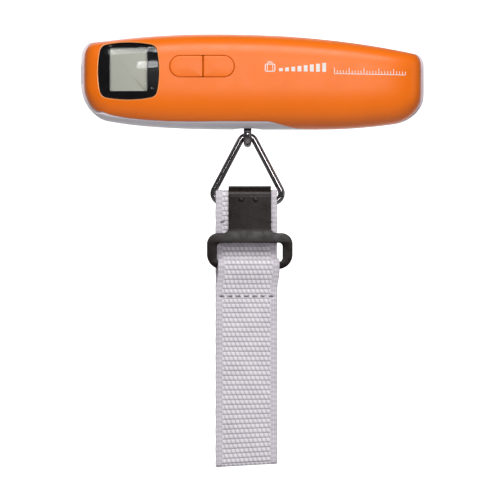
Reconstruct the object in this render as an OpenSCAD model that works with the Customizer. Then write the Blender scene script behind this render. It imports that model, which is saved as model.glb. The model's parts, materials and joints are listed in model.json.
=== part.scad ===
// Digital luggage scale: a hand-held weighing head with a swivelling eye, a wire
// triangle ring and a webbing strap that closes with a stamped hook plate.
// +Z is up, +X runs along the grip to its plain end, and the display faces -Y.
// The origin is the middle of the grip.

/* [Housing] */
// Length of the rear cover over both ends
rear_l = 139.4; // [138:0.2:142]
// Length of the front cover over both ends
front_l = 136.8; // [135:0.2:137]
// Height of the housing above the grip's middle, at its tallest
crown_h = 19.3; // [18.6:0.1:19.5]
// Depth of the housing below the grip's middle, at its deepest
belly_h = 19.4; // [19.2:0.1:20]
// How far the front skin stands in front of the widest outline
front_d = 16; // [15.5:0.1:17]
// How far the rear skin stands behind the widest outline
rear_d = 12; // [11.8:0.1:13]
// Wall thickness of both covers
wall = 2; // [1.8:0.1:2.2]

/* [Display and buttons] */
// Width of the display lens
lens_w = 25; // [24:0.5:26]
// Height of the display lens
lens_h = 23.4; // [22:0.2:24]
// Width of the clear window inside the black border
window_w = 15.2; // [14:0.2:16]
// Height of the clear window
window_h = 17.6; // [16:0.2:18]
// Width of the pill that the two buttons share
pill_w = 26.6; // [26:0.2:28]
// Height of the pill
pill_h = 9.2; // [8.6:0.2:9.6]
// How far a button goes in
press_travel = 0.6; // [0.3:0.1:0.6]

/* [Suspension] */
// Distance of the load eye from the grip's middle, along the grip
eye_x = -2.1; // [-4:0.1:0]
// Wire radius of the load eye
eye_wire_r = 1.6; // [1.5:0.05:1.6]
// Wire radius of the triangle ring
ring_wire_r = 1.4; // [1.3:0.05:1.4]
// Drop from the ring's top wire to its bottom bar, centre to centre
ring_drop = 26.85; // [25:0.05:28]

/* [Strap and hook] */
// Width of the webbing
web_w = 25; // [24:0.5:25.4]
// Thickness of the webbing
web_t = 1.3; // [1.2:0.05:1.3]
// Height of the bottom fold, where the strap doubles back
fold_z = -154.5; // [-170:0.5:-140]
// Thickness of the hook plate
plate_t = 1.2; // [1:0.1:1.2]
// Width of the hook plate across its slot
plate_w = 34.8; // [34:0.2:36]

/* [Hidden] */
$fn = 48;

tiny = 0.05;
core_y = 2;             // the widest outline, and the plane that everything hangs in

// ---- skin of the housing ----
crown_x = -17;          // where the top is tallest
belly_x = 25;           // where the bottom is deepest
top_power = 4.5;        // squareness of the upper half of a cross-section
low_power = 3;          // squareness of the lower half
end_power = 5;          // squareness of the ends
seam_top_d = 8;         // the seam's depth in front of the widest outline, over the display end
seam_low_d = 11.8;      // the same on the underside
seam_back_d = -3;       // the same over the plain end, where it lies behind the outline
seam_from_x = 5;
seam_to_x = 36;
seam_gap = 0.06;
tip_depth = 4.2;        // how far the seam stays in front of the widest outline at the display end's tip
tip_x = 66;
tip_run = 10;
match_x = 67.8;         // up to here the covers share their stations
skin_stations = 28;
skin_sides = 20;
last_u = 0.9985;        // the loft stops at a small flat just short of the tip

function mix(a, b, t) = a + (b - a) * t;
function smooth(t) = let (c = max(0, min(1, t))) c * c * (3 - 2 * c);
function round_off(x, end, rx, rz) =
    abs(x) < end - rx ? 0 : rz * (1 - sqrt(max(0, 1 - pow((abs(x) - end + rx) / rx, 2))));

// half-heights of the widest outline, along the grip
function top_z(x) =
    x < crown_x
    ? crown_h - 2.9 * pow((crown_x - x) / 45, 2) - round_off(x, rear_l / 2, 4, 6)
    : crown_h - 7.5 * pow((x - crown_x) / 82, 2.2) - round_off(x, rear_l / 2, 3, 4);
function low_z(x) =
    x < belly_x
    ? belly_h - 2.9 * pow((belly_x - x) / 81, 4.5) - round_off(x, rear_l / 2, 11, 12)
    : belly_h - 2.5 * pow((x - belly_x) / 35, 2.2) - round_off(x, rear_l / 2, 12, 9);

function end_fade(u) = pow(1 - pow(abs(u), end_power), 1 / end_power);

// depth of the front skin at a point of the front view
function face_y(x, z) =
    let (u = min(last_u, abs(x) / (front_l / 2)),
         v = min(1, abs(z) / (z > 0 ? top_z(x) : low_z(x))),
         p = z > 0 ? top_power : low_power)
    core_y - front_d * end_fade(u) * pow(1 - pow(v, p), 1 / p);

// depth of the rear skin at a point of the back view
function back_y(x, z) =
    let (u = min(last_u, abs(x) / (rear_l / 2)),
         v = min(1, abs(z) / (z > 0 ? top_z(x) : low_z(x))),
         p = z > 0 ? top_power : low_power)
    core_y + rear_d * end_fade(u) * pow(1 - pow(v, p), 1 / p);

// one point of a cross-section: a is 0 at the front, 90 at the top, 180 at the back
function skin_point(u, a, half_l, inset) =
    let (x = u * (half_l - inset),
         xs = u * rear_l / 2,
         h = (sin(a) > 0 ? top_z(xs) : low_z(xs)) - inset,
         p = sin(a) > 0 ? top_power : low_power,
         d = (cos(a) > 0 ? front_d : rear_d) - inset)
    [x,
     core_y - sign(cos(a)) * d * end_fade(u) * pow(abs(cos(a)), 2 / p),
     sign(sin(a)) * h * pow(abs(sin(a)), 2 / p)];

// depth of the seam in front of the widest outline. It draws in towards the display end's tip
function seam_depth(x, front_end) =
    let (full = mix(front_end, seam_back_d, smooth((x - seam_from_x) / (seam_to_x - seam_from_x))),
         tip = mix(tip_depth, full, smooth((tip_x - abs(x)) / tip_run)))
    full > tip_depth ? tip : full;

// angle at which a cross-section meets the seam, above or below
function seam_angle(x, u, inset, p, shift) =
    let (depth = seam_depth(x, p == top_power ? seam_top_d : seam_low_d) + shift,
         d = depth > 0 ? front_d - inset : rear_d - inset,
         r = min(0.97, abs(depth) / (d * end_fade(u))))
    acos(sign(depth) * pow(r, p / 2));

// stations along the grip. Those of the shorter front cover match the rear's except at the ends
function station_x(i) = -last_u * rear_l / 2 * cos(180 * i / skin_stations);
function front_x(i) =
    let (x = station_x(i), past = (abs(x) - match_x) / (last_u * rear_l / 2 - match_x))
    past < 0 ? x : sign(x) * mix(match_x, last_u * front_l / 2, past);
function front_row(i, inset) =
    let (u = front_x(i) / (front_l / 2), x = u * (front_l / 2 - inset),
         up = seam_angle(x, u, inset, top_power, seam_gap),
         down = -seam_angle(x, u, inset, low_power, seam_gap))
    [for (j = [0:skin_sides]) skin_point(u, mix(down, up, j / skin_sides), front_l / 2, inset)];
function rear_row(i, inset) =
    let (u = station_x(i) / (rear_l / 2), x = u * (rear_l / 2 - inset),
         up = seam_angle(x, u, inset, top_power, -seam_gap),
         down = 360 - seam_angle(x, u, inset, low_power, -seam_gap))
    [for (j = [0:skin_sides]) skin_point(u, mix(up, down, j / skin_sides), rear_l / 2, inset)];

// closes an outer and an inner grid of rows into one shell with a rim
module shell(outer, inner) {
    rows = len(outer);
    cols = len(outer[0]);
    count = rows * cols;
    grid = [for (r = outer) each r];
    lining = [for (r = inner) each r];
    function at(i, j) = i * cols + j;
    skin = [for (i = [0:rows - 2], j = [0:cols - 2]) each
        [[at(i, j), at(i, j + 1), at(i + 1, j)], [at(i, j + 1), at(i + 1, j + 1), at(i + 1, j)]]];
    inside = [for (f = skin) [f[2] + count, f[1] + count, f[0] + count]];
    caps = [
        [for (j = [cols - 1:-1:0]) at(0, j)],
        [for (j = [0:cols - 1]) at(rows - 1, j)],
        [for (j = [0:cols - 1]) at(0, j) + count],
        [for (j = [cols - 1:-1:0]) at(rows - 1, j) + count]
    ];
    edge = concat(
        [for (i = [0:rows - 1]) at(i, 0)],
        [for (i = [rows - 1:-1:0]) at(i, cols - 1)]);
    rim = [for (k = [0:len(edge) - 1])
        let (a = edge[k], b = edge[(k + 1) % len(edge)]) each
        [[a, b, a + count], [b, b + count, a + count]]];
    polyhedron(concat(grid, lining), concat(skin, inside, caps, rim), convexity = 6);
}

// a plate that follows the front skin inside an outline, between two depths
module skin_patch(outline, from, to, rings = 5) {
    n = len(outline);
    mid = [for (k = [0:1]) (max([for (p = outline) p[k]]) + min([for (p = outline) p[k]])) / 2];
    count = n * rings + 1;
    function on_skin(q, depth) = [q[0], face_y(q[0], q[1]) + depth, q[1]];
    function level(depth) = concat(
        [for (r = [rings:-1:1], i = [0:n - 1]) on_skin(mix(mid, outline[i], r / rings), depth)],
        [on_skin(mid, depth)]);
    front = concat(
        [for (r = [0:rings - 2], i = [0:n - 1]) let (a = r * n + i, b = r * n + (i + 1) % n) each
            [[b, a, a + n], [b + n, b, a + n]]],
        [for (i = [0:n - 1]) [(rings - 1) * n + (i + 1) % n, (rings - 1) * n + i, count - 1]]);
    back = [for (f = front) [f[2] + count, f[1] + count, f[0] + count]];
    side = [for (i = [0:n - 1]) let (b = (i + 1) % n) each [[i + count, i, b], [i + count, b, b + count]]];
    polyhedron(concat(level(from), level(to)), concat(front, back, side), convexity = 4);
}

// ---- outlines ----
function unit(v) = v / norm(v);
function corner(a, b, c, r, n) =
    let (p = unit(a - b), q = unit(c - b), ang = acos(max(-1, min(1, p * q))))
    r == 0 || ang > 179 ? [b] :
    let (mid = b + unit(p + q) * r / sin(ang / 2),
         s = b + p * r / tan(ang / 2) - mid,
         e = b + q * r / tan(ang / 2) - mid,
         a0 = atan2(s[1], s[0]),
         turn = (atan2(e[1], e[0]) - a0 + 540) % 360 - 180)
    [for (k = [0:n]) mid + r * [cos(a0 + turn * k / n), sin(a0 + turn * k / n)]];
// a polygon whose corner i is rounded to radius r[i]
function rounded(pts, r, n = 6) =
    [for (i = [0:len(pts) - 1]) each
        corner(pts[(i + len(pts) - 1) % len(pts)], pts[i], pts[(i + 1) % len(pts)], r[i], n)];
function box_points(cx, cz, w, h) =
    [[cx - w / 2, cz - h / 2], [cx + w / 2, cz - h / 2], [cx + w / 2, cz + h / 2], [cx - w / 2, cz + h / 2]];
function round_box(cx, cz, w, h, r, n = 6) = rounded(box_points(cx, cz, w, h), [r, r, r, r], n);
// a box with bulging sides
function barrel(cx, cz, w, h, bulge, r) =
    rounded(
        [for (side = [0:3], k = [0:3])
            let (c = box_points(0, 0, w - 2 * bulge, h - 2 * bulge),
                 a = c[side], b = c[(side + 1) % 4], t = k / 4,
                 out = unit([b[1] - a[1], a[0] - b[0]]))
            [cx, cz] + mix(a, b, t) + out * bulge * 4 * t * (1 - t)],
        [for (side = [0:3], k = [0:3]) k == 0 ? r : 0]);
// a strip of even thickness along a path of centre points
function strip(path, t) =
    let (last = len(path) - 1,
         across = [for (i = [0:last])
            let (d = unit(path[min(last, i + 1)] - path[max(0, i - 1)])) [-d[1], d[0]]])
    concat(
        [for (i = [0:last]) path[i] + across[i] * t / 2],
        [for (i = [last:-1:0]) path[i] - across[i] * t / 2]);
function arc(mid, r, from, to, n = 16) =
    [for (k = [0:n]) mid + r * [cos(mix(from, to, k / n)), sin(mix(from, to, k / n))]];

// an X and Z outline pushed through Y
module through_y(from, to) {
    translate([0, to, 0]) rotate([90, 0, 0]) linear_extrude(to - from) children();
}
// a Y and Z outline pushed through X, centred on the load eye
module through_x(width) {
    translate([eye_x - width / 2, 0, 0]) rotate([90, 0, 90]) linear_extrude(width) children();
}
module rod_y(x, z, r, from, to) {
    translate([x, to, z]) rotate([90, 0, 0]) cylinder(r = r, h = to - from);
}
module rod_z(x, y, r, from, to) {
    translate([x, y, from]) cylinder(r = r, h = to - from);
}
module block(x0, x1, y0, y1, z0, z1) {
    translate([x0, y0, z0]) cube([x1 - x0, y1 - y0, z1 - z0]);
}

// ---- display, buttons ----
lens_x = -50.25;
lens_z = 4.1;
lens_t = 1.1;
lens_bulge = 1.3;
lens_corner_r = 3.4;
mask_gap = 0.1;
mask_t = 0.2;
recess_play = 0.55;
well_play = 2.4;
window_z = 4.8;
pill_x = -20.5;
pill_z = 6;
button_split_x = -20.1;
button_gap = 0.25;
button_t = 1.5;
lcd_w = 15.3;
lcd_h = 17.7;
power_x = (pill_x - pill_w / 2 + button_split_x) / 2;
unit_x = (pill_x + pill_w / 2 + button_split_x) / 2;
flange_from_y = -11;
plunger_to_y = -10.25;
board_y = -6.5;
board_t = 1.6;

// ---- screws that hold the covers together ----
posts = [[-57.2, -10.6], [-22, 13.4], [12, -13.2], [57.5, 5], [57.5, -8]];
post_r = 2.2;
post_head_r = 3.2;
post_split_y = -5.4;
head_seat_y = 7.6;
screw_r = 1;
screw_head_r = 2.4;

// ---- load cell ----
cell_z = 2;
cell_h = 12.7;
cell_from_x = eye_x - 7;
cell_l = 60;
cell_y0 = -4;
cell_y1 = 8;
window_r = 4;
cell_windows = [16, 25];
cell_screw_x = [40, 47];
bracket_t = 2;

// ---- battery ----
cell_x = -41;
coin_r = 10;
coin_t = 3.2;
coin_y = 5.9;
door_w = 24;
door_h = 22;
door_t = 1.6;
door_hinge_z = -11.3;
knuckle_r = 0.8;
door_hinge_y = back_y(cell_x, door_hinge_z) - knuckle_r - 0.1;
door_mid_z = door_hinge_z - knuckle_r + (door_h + 2 * knuckle_r) / 2;

// ---- flat land on the back ----
land_x = 16;
land_w = 70;
land_h = 17;
land_y = core_y + rear_d + 0.4;

// ---- suspension ----
eye_hole_r = 2.1;
eye_z = -21.35;
shank_r = 2;
shank_play = 0.06;
bushing_r = 6.4;
ring_top_z = eye_z - 0.6;
bar_z = ring_top_z - ring_drop;
apex_r = 3.3;
foot_r = 3.5;
foot_x = 10.3;
apex_z = ring_top_z - apex_r;
foot_z = bar_z + foot_r;
// slope of the legs, such that each leg is tangent to the apex and to its foot
leg_span = [foot_x, foot_z - apex_z];
leg_angle = acos((apex_r - foot_r) / norm(leg_span)) - atan2(-leg_span[1], leg_span[0]);

// ---- strap ----
hinge_y = 0.7;
ply = web_t / 2 + 0.25;
loop_top_z = bar_z + 2.15;
loop_r = ring_wire_r + 0.25 + web_t / 2;
loop_w = 20;
back_tail_z = -66;
slot_bar_z = -74.6;
slot_bar_h = 3;
plate_y = core_y - loop_r - web_t / 2 - 0.3 - plate_t / 2;
bar_loop_r = 1.75 + web_t / 2;
front_tail_z = -90.7;
stitch_z = -87;
lip_r = loop_r + web_t / 2 + 0.3 + plate_t / 2;
neck_w = 17.3;

module front_cover() {
    color("darkorange") difference() {
        union() {
            shell(
                [for (i = [0:skin_stations]) front_row(i, 0)],
                [for (i = [0:skin_stations]) front_row(i, wall)]);
            for (p = posts) rod_y(p[0], p[1], post_r, face_y(p[0], p[1]) + 0.9, post_split_y - 0.1);
        }
        skin_patch(lens_outline(0.1), -1, lens_t + recess_play);
        through_y(-20, -5)
            polygon(round_box(lens_x, window_z, window_w + well_play, window_h + well_play, 1));
        through_y(-20, -10) polygon(round_box(pill_x, pill_z, pill_w, pill_h, pill_h / 2 - 0.01));
        for (p = posts) rod_y(p[0], p[1], screw_r, -9, 0);
    }
}

module rear_cover() {
    color("whitesmoke") difference() {
        union() {
            shell(
                [for (i = [0:skin_stations]) rear_row(i, 0)],
                [for (i = [0:skin_stations]) rear_row(i, wall)]);
            for (p = posts) {
                rod_y(p[0], p[1], post_r, post_split_y, head_seat_y);
                rod_y(p[0], p[1], post_head_r, head_seat_y - 1.5,
                    back_y(p[0], p[1] + sign(p[1]) * post_head_r) - 0.4);
            }
            for (x = [38, 50]) rod_y(x, 6, 2.6, 10.2, back_y(x, 6) - 1);
            through_y(land_y - 3, land_y) polygon(round_box(land_x, 0, land_w, land_h, 5));
            rod_z(eye_x, core_y, 7.6, -16.8, -13.2);
        }
        for (p = posts) {
            rod_y(p[0], p[1], post_r + 0.1, -20, post_split_y - 0.02);
            rod_y(p[0], p[1], screw_r + 0.15, -10, 12);
            rod_y(p[0], p[1], screw_head_r + 0.15, head_seat_y, 20);
        }
        for (x = [38, 50]) rod_y(x, 6, 1, 8, 12.6);
        rod_z(eye_x, core_y, bushing_r + tiny, -30, -10);
        through_y(9, 20)
            polygon(round_box(cell_x, door_mid_z, door_w + 0.6, door_h + 2 * knuckle_r + 0.6, 0.8));
    }
}

// the battery door follows the rear skin and turns on a knuckle along its lower edge
module battery_door() {
    steps = 12;
    function rib(depth) = [for (k = [0:steps])
        let (z = mix(door_hinge_z, door_hinge_z + door_h + knuckle_r, k / steps))
        [back_y(cell_x, z) - 0.1 - depth, z]];
    color("whitesmoke") union() {
        translate([cell_x - door_w / 2, 0, 0]) rotate([90, 0, 90]) linear_extrude(door_w)
            polygon(concat(rib(0), [for (k = [steps:-1:0]) rib(door_t)[k]]));
        translate([cell_x - door_w / 2, door_hinge_y, door_hinge_z]) rotate([0, 90, 0])
            cylinder(r = knuckle_r, h = door_w);
    }
}

module cover_screws() {
    color("silver") for (p = posts) {
        rod_y(p[0], p[1], screw_r - 0.02, -8.6, head_seat_y + 0.3);
        difference() {
            rod_y(p[0], p[1], screw_head_r, head_seat_y + 0.02, head_seat_y + 1.6);
            block(p[0] - 1.6, p[0] + 1.6, head_seat_y + 0.9, head_seat_y + 3, p[1] - 0.3, p[1] + 0.3);
            block(p[0] - 0.3, p[0] + 0.3, head_seat_y + 0.9, head_seat_y + 3, p[1] - 1.6, p[1] + 1.6);
        }
    }
}

function lens_outline(play) = barrel(lens_x, lens_z, lens_w + play, lens_h + play, lens_bulge, lens_corner_r);

module display_lens() {
    color("lightslategray", 0.4)
        skin_patch(lens_outline(0), 0, lens_t);
}

module lens_mask() {
    color("black") difference() {
        skin_patch(lens_outline(0), lens_t + mask_gap, lens_t + mask_gap + mask_t);
        through_y(-20, 0) polygon(round_box(lens_x, window_z, window_w, window_h, 0.6));
    }
}

module lcd_panel() {
    color("darkseagreen")
        block(lens_x - lcd_w / 2, lens_x + lcd_w / 2, -9.2, -7.7, window_z - lcd_h / 2, window_z + lcd_h / 2);
}

// frame that carries the display on the board
module lcd_frame() {
    color("dimgray") difference() {
        through_y(-8.5, board_y - 0.02) polygon(round_box(lens_x, window_z, lcd_w + 1.4, lcd_h + 1.4, 0.8));
        through_y(-20, 0) polygon(round_box(lens_x, window_z, lcd_w + 0.1, lcd_h + 0.1, 0.2));
    }
}

module zebra_strip() {
    z = window_z - lcd_h / 2 + 0.2;
    color("pink") block(lens_x - 7, lens_x + 7, -7.68, board_y - 0.04, z, z + 1.6);
}

module circuit_board() {
    color("seagreen") difference() {
        union() {
            block(-60, -5, board_y, board_y + board_t, -8.2, 10.4);
            block(-60, -38.8, board_y, board_y + board_t, -8.2, 12.4);
        }
        for (p = [[-57, -6.2], [-8, 8]]) rod_y(p[0], p[1], 1.1, board_y - 1, board_y + 3);
    }
}

module controller_chip() {
    color("black") intersection() {
        rod_y(-28, -2.6, 5.2, board_y - 1.2, board_y - 0.02);
        block(-34, -22, -20, 20, -6.8, 1.4);
    }
}

// resistors, capacitors and a crystal on the board's front
module board_components() {
    color("tan") union() {
        for (i = [0:4]) block(-19 + 2.6 * i, -17.4 + 2.6 * i, board_y - 0.6, board_y - 0.02, -5.2, -4.4);
        for (i = [0:3]) block(-18 + 3 * i, -16 + 3 * i, board_y - 0.9, board_y - 0.02, -2.8, -1.6);
        rod_y(-35.6, -5.2, 1.4, board_y - 2.4, board_y - 0.02);
    }
}

module tact_switches() {
    color("gainsboro") for (x = [power_x, unit_x]) {
        block(x - 3, x + 3, -9, board_y - 0.02, pill_z - 3, pill_z + 3);
        rod_y(x, pill_z, 1.6, plunger_to_y + press_travel + 0.05, -8.98);
    }
}

// a button cap that follows the front skin, with a flange behind the wall and a plunger
module button(x, outline) {
    skin_patch(outline, 0, button_t);
    through_y(-12.6, flange_from_y + tiny) polygon(round_box(x, pill_z, 8, 5.6, 1));
    through_y(flange_from_y, plunger_to_y) polygon(round_box(x, pill_z, 12.6, 9.9, 2));
}
function half_pill(from, to, left) =
    let (z0 = pill_z - pill_h / 2 + button_gap, z1 = pill_z + pill_h / 2 - button_gap,
         r = (z1 - z0) / 2 - 0.01, s = 0.5)
    rounded([[from, z0], [to, z0], [to, z1], [from, z1]], left ? [r, s, s, r] : [s, r, r, s], 8);

module power_button() {
    color("orange") button(power_x,
        half_pill(pill_x - pill_w / 2 + button_gap, button_split_x - button_gap / 2, true));
}

module unit_button() {
    color("orange") button(unit_x,
        half_pill(button_split_x + button_gap / 2, pill_x + pill_w / 2 - button_gap, false));
}

module coin_cell() {
    color("silver") union() {
        rod_y(cell_x, 0, coin_r, coin_y + 0.5, coin_y + coin_t);
        rod_y(cell_x, 0, coin_r - 1.2, coin_y + 0.02, coin_y + 0.5);
    }
}

module battery_tray() {
    color("dimgray") difference() {
        union() {
            rod_y(cell_x, 0, coin_r + 1.2, coin_y - 1.5, coin_y + 2.4);
            for (s = [-1, 1]) rod_y(cell_x + s * 7, 0, 1.5, board_y + board_t + 0.02, coin_y - 1.4);
        }
        rod_y(cell_x, 0, coin_r + 0.2, coin_y - 0.42, 20);
        block(cell_x - 20, cell_x + 20, coin_y + 1, 20, -3, 3);
    }
}

module battery_contacts() {
    color("gold") union() {
        block(cell_x - 5, cell_x + 5, coin_y - 0.4, coin_y - 0.1, -1.5, 1.5);
        block(cell_x + coin_r + 1.3, cell_x + coin_r + 1.6, board_y + board_t, coin_y + 2.5, -2.4, 2.4);
    }
}

// bending beam with its two joined round windows
module load_cell() {
    color("silver") difference() {
        block(cell_from_x, cell_from_x + cell_l, cell_y0, cell_y1, cell_z - cell_h / 2, cell_z + cell_h / 2);
        for (x = cell_windows) rod_y(x, cell_z, window_r, -20, 20);
        block(cell_windows[0], cell_windows[1], -20, 20, cell_z - 1.5, cell_z + 1.5);
        rod_z(eye_x, core_y, shank_r + shank_play, -20, 20);
        for (x = cell_screw_x) rod_z(x, core_y, shank_r + tiny, -20, 20);
    }
}

module strain_gauges() {
    color("goldenrod") for (x = cell_windows, s = [-1, 1])
        translate([x, core_y, cell_z + s * (cell_h / 2 + 0.12)]) cube([5, 4, 0.2], center = true);
}

module gauge_sealant() {
    color("white") for (s = [-1, 1])
        translate([0, 0, cell_z + s * (cell_h / 2 + 0.85)]) linear_extrude(1.1, center = true)
            polygon(round_box((cell_windows[0] + cell_windows[1]) / 2, core_y, 20, 8, 3));
}

// one lead of the load cell, from the sealant over the beam to the board
module lead(offset) {
    sides = 8;
    r = 0.4;
    route = [for (p = lead_route) p + [0, offset * 0.9, offset * 0.3]];
    last = len(route) - 1;
    rings = [for (i = [0:last])
        let (d = unit(route[min(last, i + 1)] - route[max(0, i - 1)]),
             a = unit(cross(d, [0, 0, 1])), b = cross(a, d))
        [for (k = [0:sides - 1]) route[i] + r * (cos(360 * k / sides) * a + sin(360 * k / sides) * b)]];
    polyhedron(
        [for (ring = rings) each ring],
        concat(
            [[for (k = [sides - 1:-1:0]) k]],
            [for (i = [0:last - 1], k = [0:sides - 1])
                let (n = (k + 1) % sides)
                [i * sides + n, (i + 1) * sides + n, (i + 1) * sides + k, i * sides + k]],
            [[for (k = [0:sides - 1]) last * sides + k]]));
}
lead_route = [
    [10.2, 1, 9.6], [8, 0.4, 10.2], [5, -1, 11], [2, -3, 11.4], [-1, -4.8, 11], [-3.2, -6.2, 9.6],
    [-3.6, -6.8, 7.6], [-4, -7.4, 5.6], [-5.2, -8.1, 4.4], [-6.6, -8.2, 3.9]
];

module signal_wires() {
    color("firebrick") for (offset = [-1.1, 0, 1.1]) lead(offset);
}

// angle bracket that carries the fixed end of the beam from the rear cover
module cell_bracket() {
    x0 = 34;
    x1 = 54;
    z1 = cell_z - cell_h / 2;
    color("lightsteelblue") difference() {
        union() {
            block(x0, x1, cell_y0, 10.1, z1 - bracket_t, z1);
            block(x0, x1, 8.6, 10.1, z1 - bracket_t, 9);
        }
        for (x = cell_screw_x) rod_z(x, core_y, shank_r + 0.15, -20, 0);
        for (x = [38, 50]) rod_y(x, 6, 1.3, 5, 20);
    }
}

module cell_screws() {
    z1 = cell_z - cell_h / 2 - bracket_t;
    color("silver") for (x = cell_screw_x) {
        rod_z(x, core_y, shank_r, z1, 4);
        difference() {
            rod_z(x, core_y, 3.4, z1 - 2.6, z1 - 0.02);
            translate([x, core_y, z1 - 3]) cylinder(r = 1.5, h = 1.6, $fn = 6);
        }
    }
}

module bracket_screws() {
    color("silver") for (x = [38, 50]) {
        rod_y(x, 6, 0.95, 8.3, 12.4);
        rod_y(x, 6, 2, 8.15, 8.58);
    }
}

module eye_bushing() {
    color("dimgray") translate([eye_x, core_y, -18]) rotate_extrude()
        polygon([[5.7, 0], [bushing_r, 0], [bushing_r, 4.6], [5.7, 4.6]]);
}

module load_eye() {
    color("silver") translate([eye_x, core_y, 0]) union() {
        translate([0, 0, eye_z]) rotate([0, 90, 0])
            rotate_extrude() translate([eye_hole_r + eye_wire_r, 0]) circle(r = eye_wire_r);
        translate([0, 0, eye_z + eye_hole_r + 1]) cylinder(r = shank_r, h = 14 - eye_z - eye_hole_r - 1);
    }
}

module eye_nut() {
    color("silver") translate([eye_x, core_y, cell_z + cell_h / 2 + 0.9]) difference() {
        cylinder(r = 4.04, h = 3.2, $fn = 6);
        translate([0, 0, -1]) cylinder(r = shank_r + 0.01, h = 6);
    }
}

module eye_washer() {
    color("silver") translate([eye_x, core_y, cell_z + cell_h / 2 + 0.01]) difference() {
        cylinder(r = 4.5, h = 0.8);
        translate([0, 0, -1]) cylinder(r = shank_r + 0.15, h = 3);
    }
}

// bent wire: a round bend of the ring, in the X and Z plane
module bend(x, z, r, from, to) {
    translate([eye_x + x, core_y, z]) rotate([90, 0, 0]) rotate([0, 0, from])
        rotate_extrude(angle = to - from) translate([r, 0]) circle(r = ring_wire_r);
}
// a straight stretch, a hair thinner than the bends and let into them at both ends
module wire(a, b) {
    d = b - a;
    translate([eye_x + a[0], core_y, a[1]]) rotate([0, atan2(d[0], d[1]), 0]) translate([0, 0, -tiny])
        cylinder(r = ring_wire_r - 0.02, h = norm(d) + 2 * tiny);
}

module triangle_ring() {
    out = [cos(leg_angle), sin(leg_angle)];
    color("silver") union() {
        bend(0, apex_z, apex_r, leg_angle, 180 - leg_angle);
        for (s = [-1, 1]) {
            flip = [s, 1];
            head = [apex_r * out[0] * s, apex_z + apex_r * out[1]];
            foot = [(foot_x + foot_r * out[0]) * s, foot_z + foot_r * out[1]];
            wire(foot, head);
            bend(s * foot_x, foot_z, foot_r, s > 0 ? -90 : 180 - leg_angle, s > 0 ? leg_angle : 270);
        }
        wire([-foot_x, bar_z], [foot_x, bar_z]);
    }
}

// the back run: sewn loop around the ring's bar, then down to the fold
module strap_back() {
    mid = [core_y, loop_top_z];
    low = -60;
    path = concat(
        [[core_y - loop_r + 1.4, back_tail_z], [core_y - loop_r + 0.6, low + 1],
         [core_y - loop_r, bar_z - 2.4]],
        arc(mid, loop_r, 180, 0),
        [[core_y + loop_r, low], [core_y + loop_r - 0.5, -80], [hinge_y + ply + 0.6, -125],
         [hinge_y + ply, fold_z]]);
    color("ghostwhite") union() {
        intersection() {
            through_x(loop_w) polygon(strip(path, web_t));
            block(-50, 50, -20, 20, bar_z - 3, 0);
        }
        intersection() {
            through_x(web_w) polygon(strip(path, web_t));
            block(-50, 50, -20, 20, -200, bar_z - 3);
        }
    }
}

// thread that closes the upper loop, on the front of its tail
module bar_tack() {
    color("lightgray") for (row = [[-63, 0.02], [-57, -0.57]], k = [-3:3])
        block(eye_x + 3.2 * k - 0.9, eye_x + 3.2 * k + 0.9, row[1] - 0.09, row[1], row[0], row[0] + 0.5);
}

// the front run: from the fold up, around the plate's lower bar, and sewn behind itself
module strap_front() {
    mid = [plate_y, slot_bar_z];
    front_y = -2.5;
    tail_y = front_y + web_t + 0.1;
    path = concat(
        [[tail_y, front_tail_z], [tail_y, stitch_z], [tail_y + 0.1, slot_bar_z - 8],
         [plate_y + bar_loop_r - 0.4, slot_bar_z - 3.4]],
        arc(mid, bar_loop_r, 0, 180),
        [[plate_y - bar_loop_r + 0.4, slot_bar_z - 3.4], [front_y - 0.1, slot_bar_z - 8], [front_y, stitch_z],
         [front_y, front_tail_z - 2], [hinge_y - ply - 0.9, -125], [hinge_y - ply, fold_z]]);
    color("ghostwhite") through_x(web_w) polygon(strip(path, web_t));
}

module stitch_row() {
    color("gray") for (k = [-3:3])
        block(eye_x + 3.4 * k - 1, eye_x + 3.4 * k + 1, -3.34, -3.17, stitch_z - 0.25, stitch_z + 0.25);
}

// stamped plate: a hooked neck over a slotted frame
module hook_plate() {
    shoulder = -61.4;
    foot = slot_bar_z - slot_bar_h / 2;
    slot_top = -65.4;
    lip_z = loop_top_z;
    color("dimgray") union() {
        difference() {
            through_y(plate_y - plate_t / 2, plate_y + plate_t / 2) polygon([for (p = rounded(
                [[-plate_w / 2, foot], [plate_w / 2, foot], [plate_w / 2, shoulder], [neck_w / 2, shoulder],
                 [neck_w / 2, lip_z], [-neck_w / 2, lip_z], [-neck_w / 2, shoulder],
                 [-plate_w / 2, shoulder]],
                [5, 5, 1.5, 1.8, 0, 0, 1.8, 1.5])) p + [eye_x, 0]]);
            through_y(-20, 20) polygon(round_box(eye_x, (slot_top + foot + slot_bar_h) / 2,
                plate_w - 8.2, slot_top - foot - slot_bar_h, 1.5));
        }
        translate([eye_x, core_y, lip_z]) rotate([90, 0, 90]) rotate([0, 0, 40])
            rotate_extrude(angle = 140) translate([lip_r - plate_t / 2, -neck_w / 2])
                square([plate_t, neck_w]);
    }
}

front_cover();
rear_cover();
battery_door();
cover_screws();
display_lens();
lens_mask();
lcd_panel();
lcd_frame();
zebra_strip();
circuit_board();
controller_chip();
board_components();
tact_switches();
power_button();
unit_button();
coin_cell();
battery_tray();
battery_contacts();
load_cell();
strain_gauges();
gauge_sealant();
signal_wires();
cell_bracket();
cell_screws();
bracket_screws();
eye_bushing();
load_eye();
eye_nut();
eye_washer();
triangle_ring();
strap_back();
bar_tack();
strap_front();
stitch_row();
hook_plate();
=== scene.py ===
"""Looks of a digital luggage scale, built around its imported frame."""
import json
import math

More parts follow.
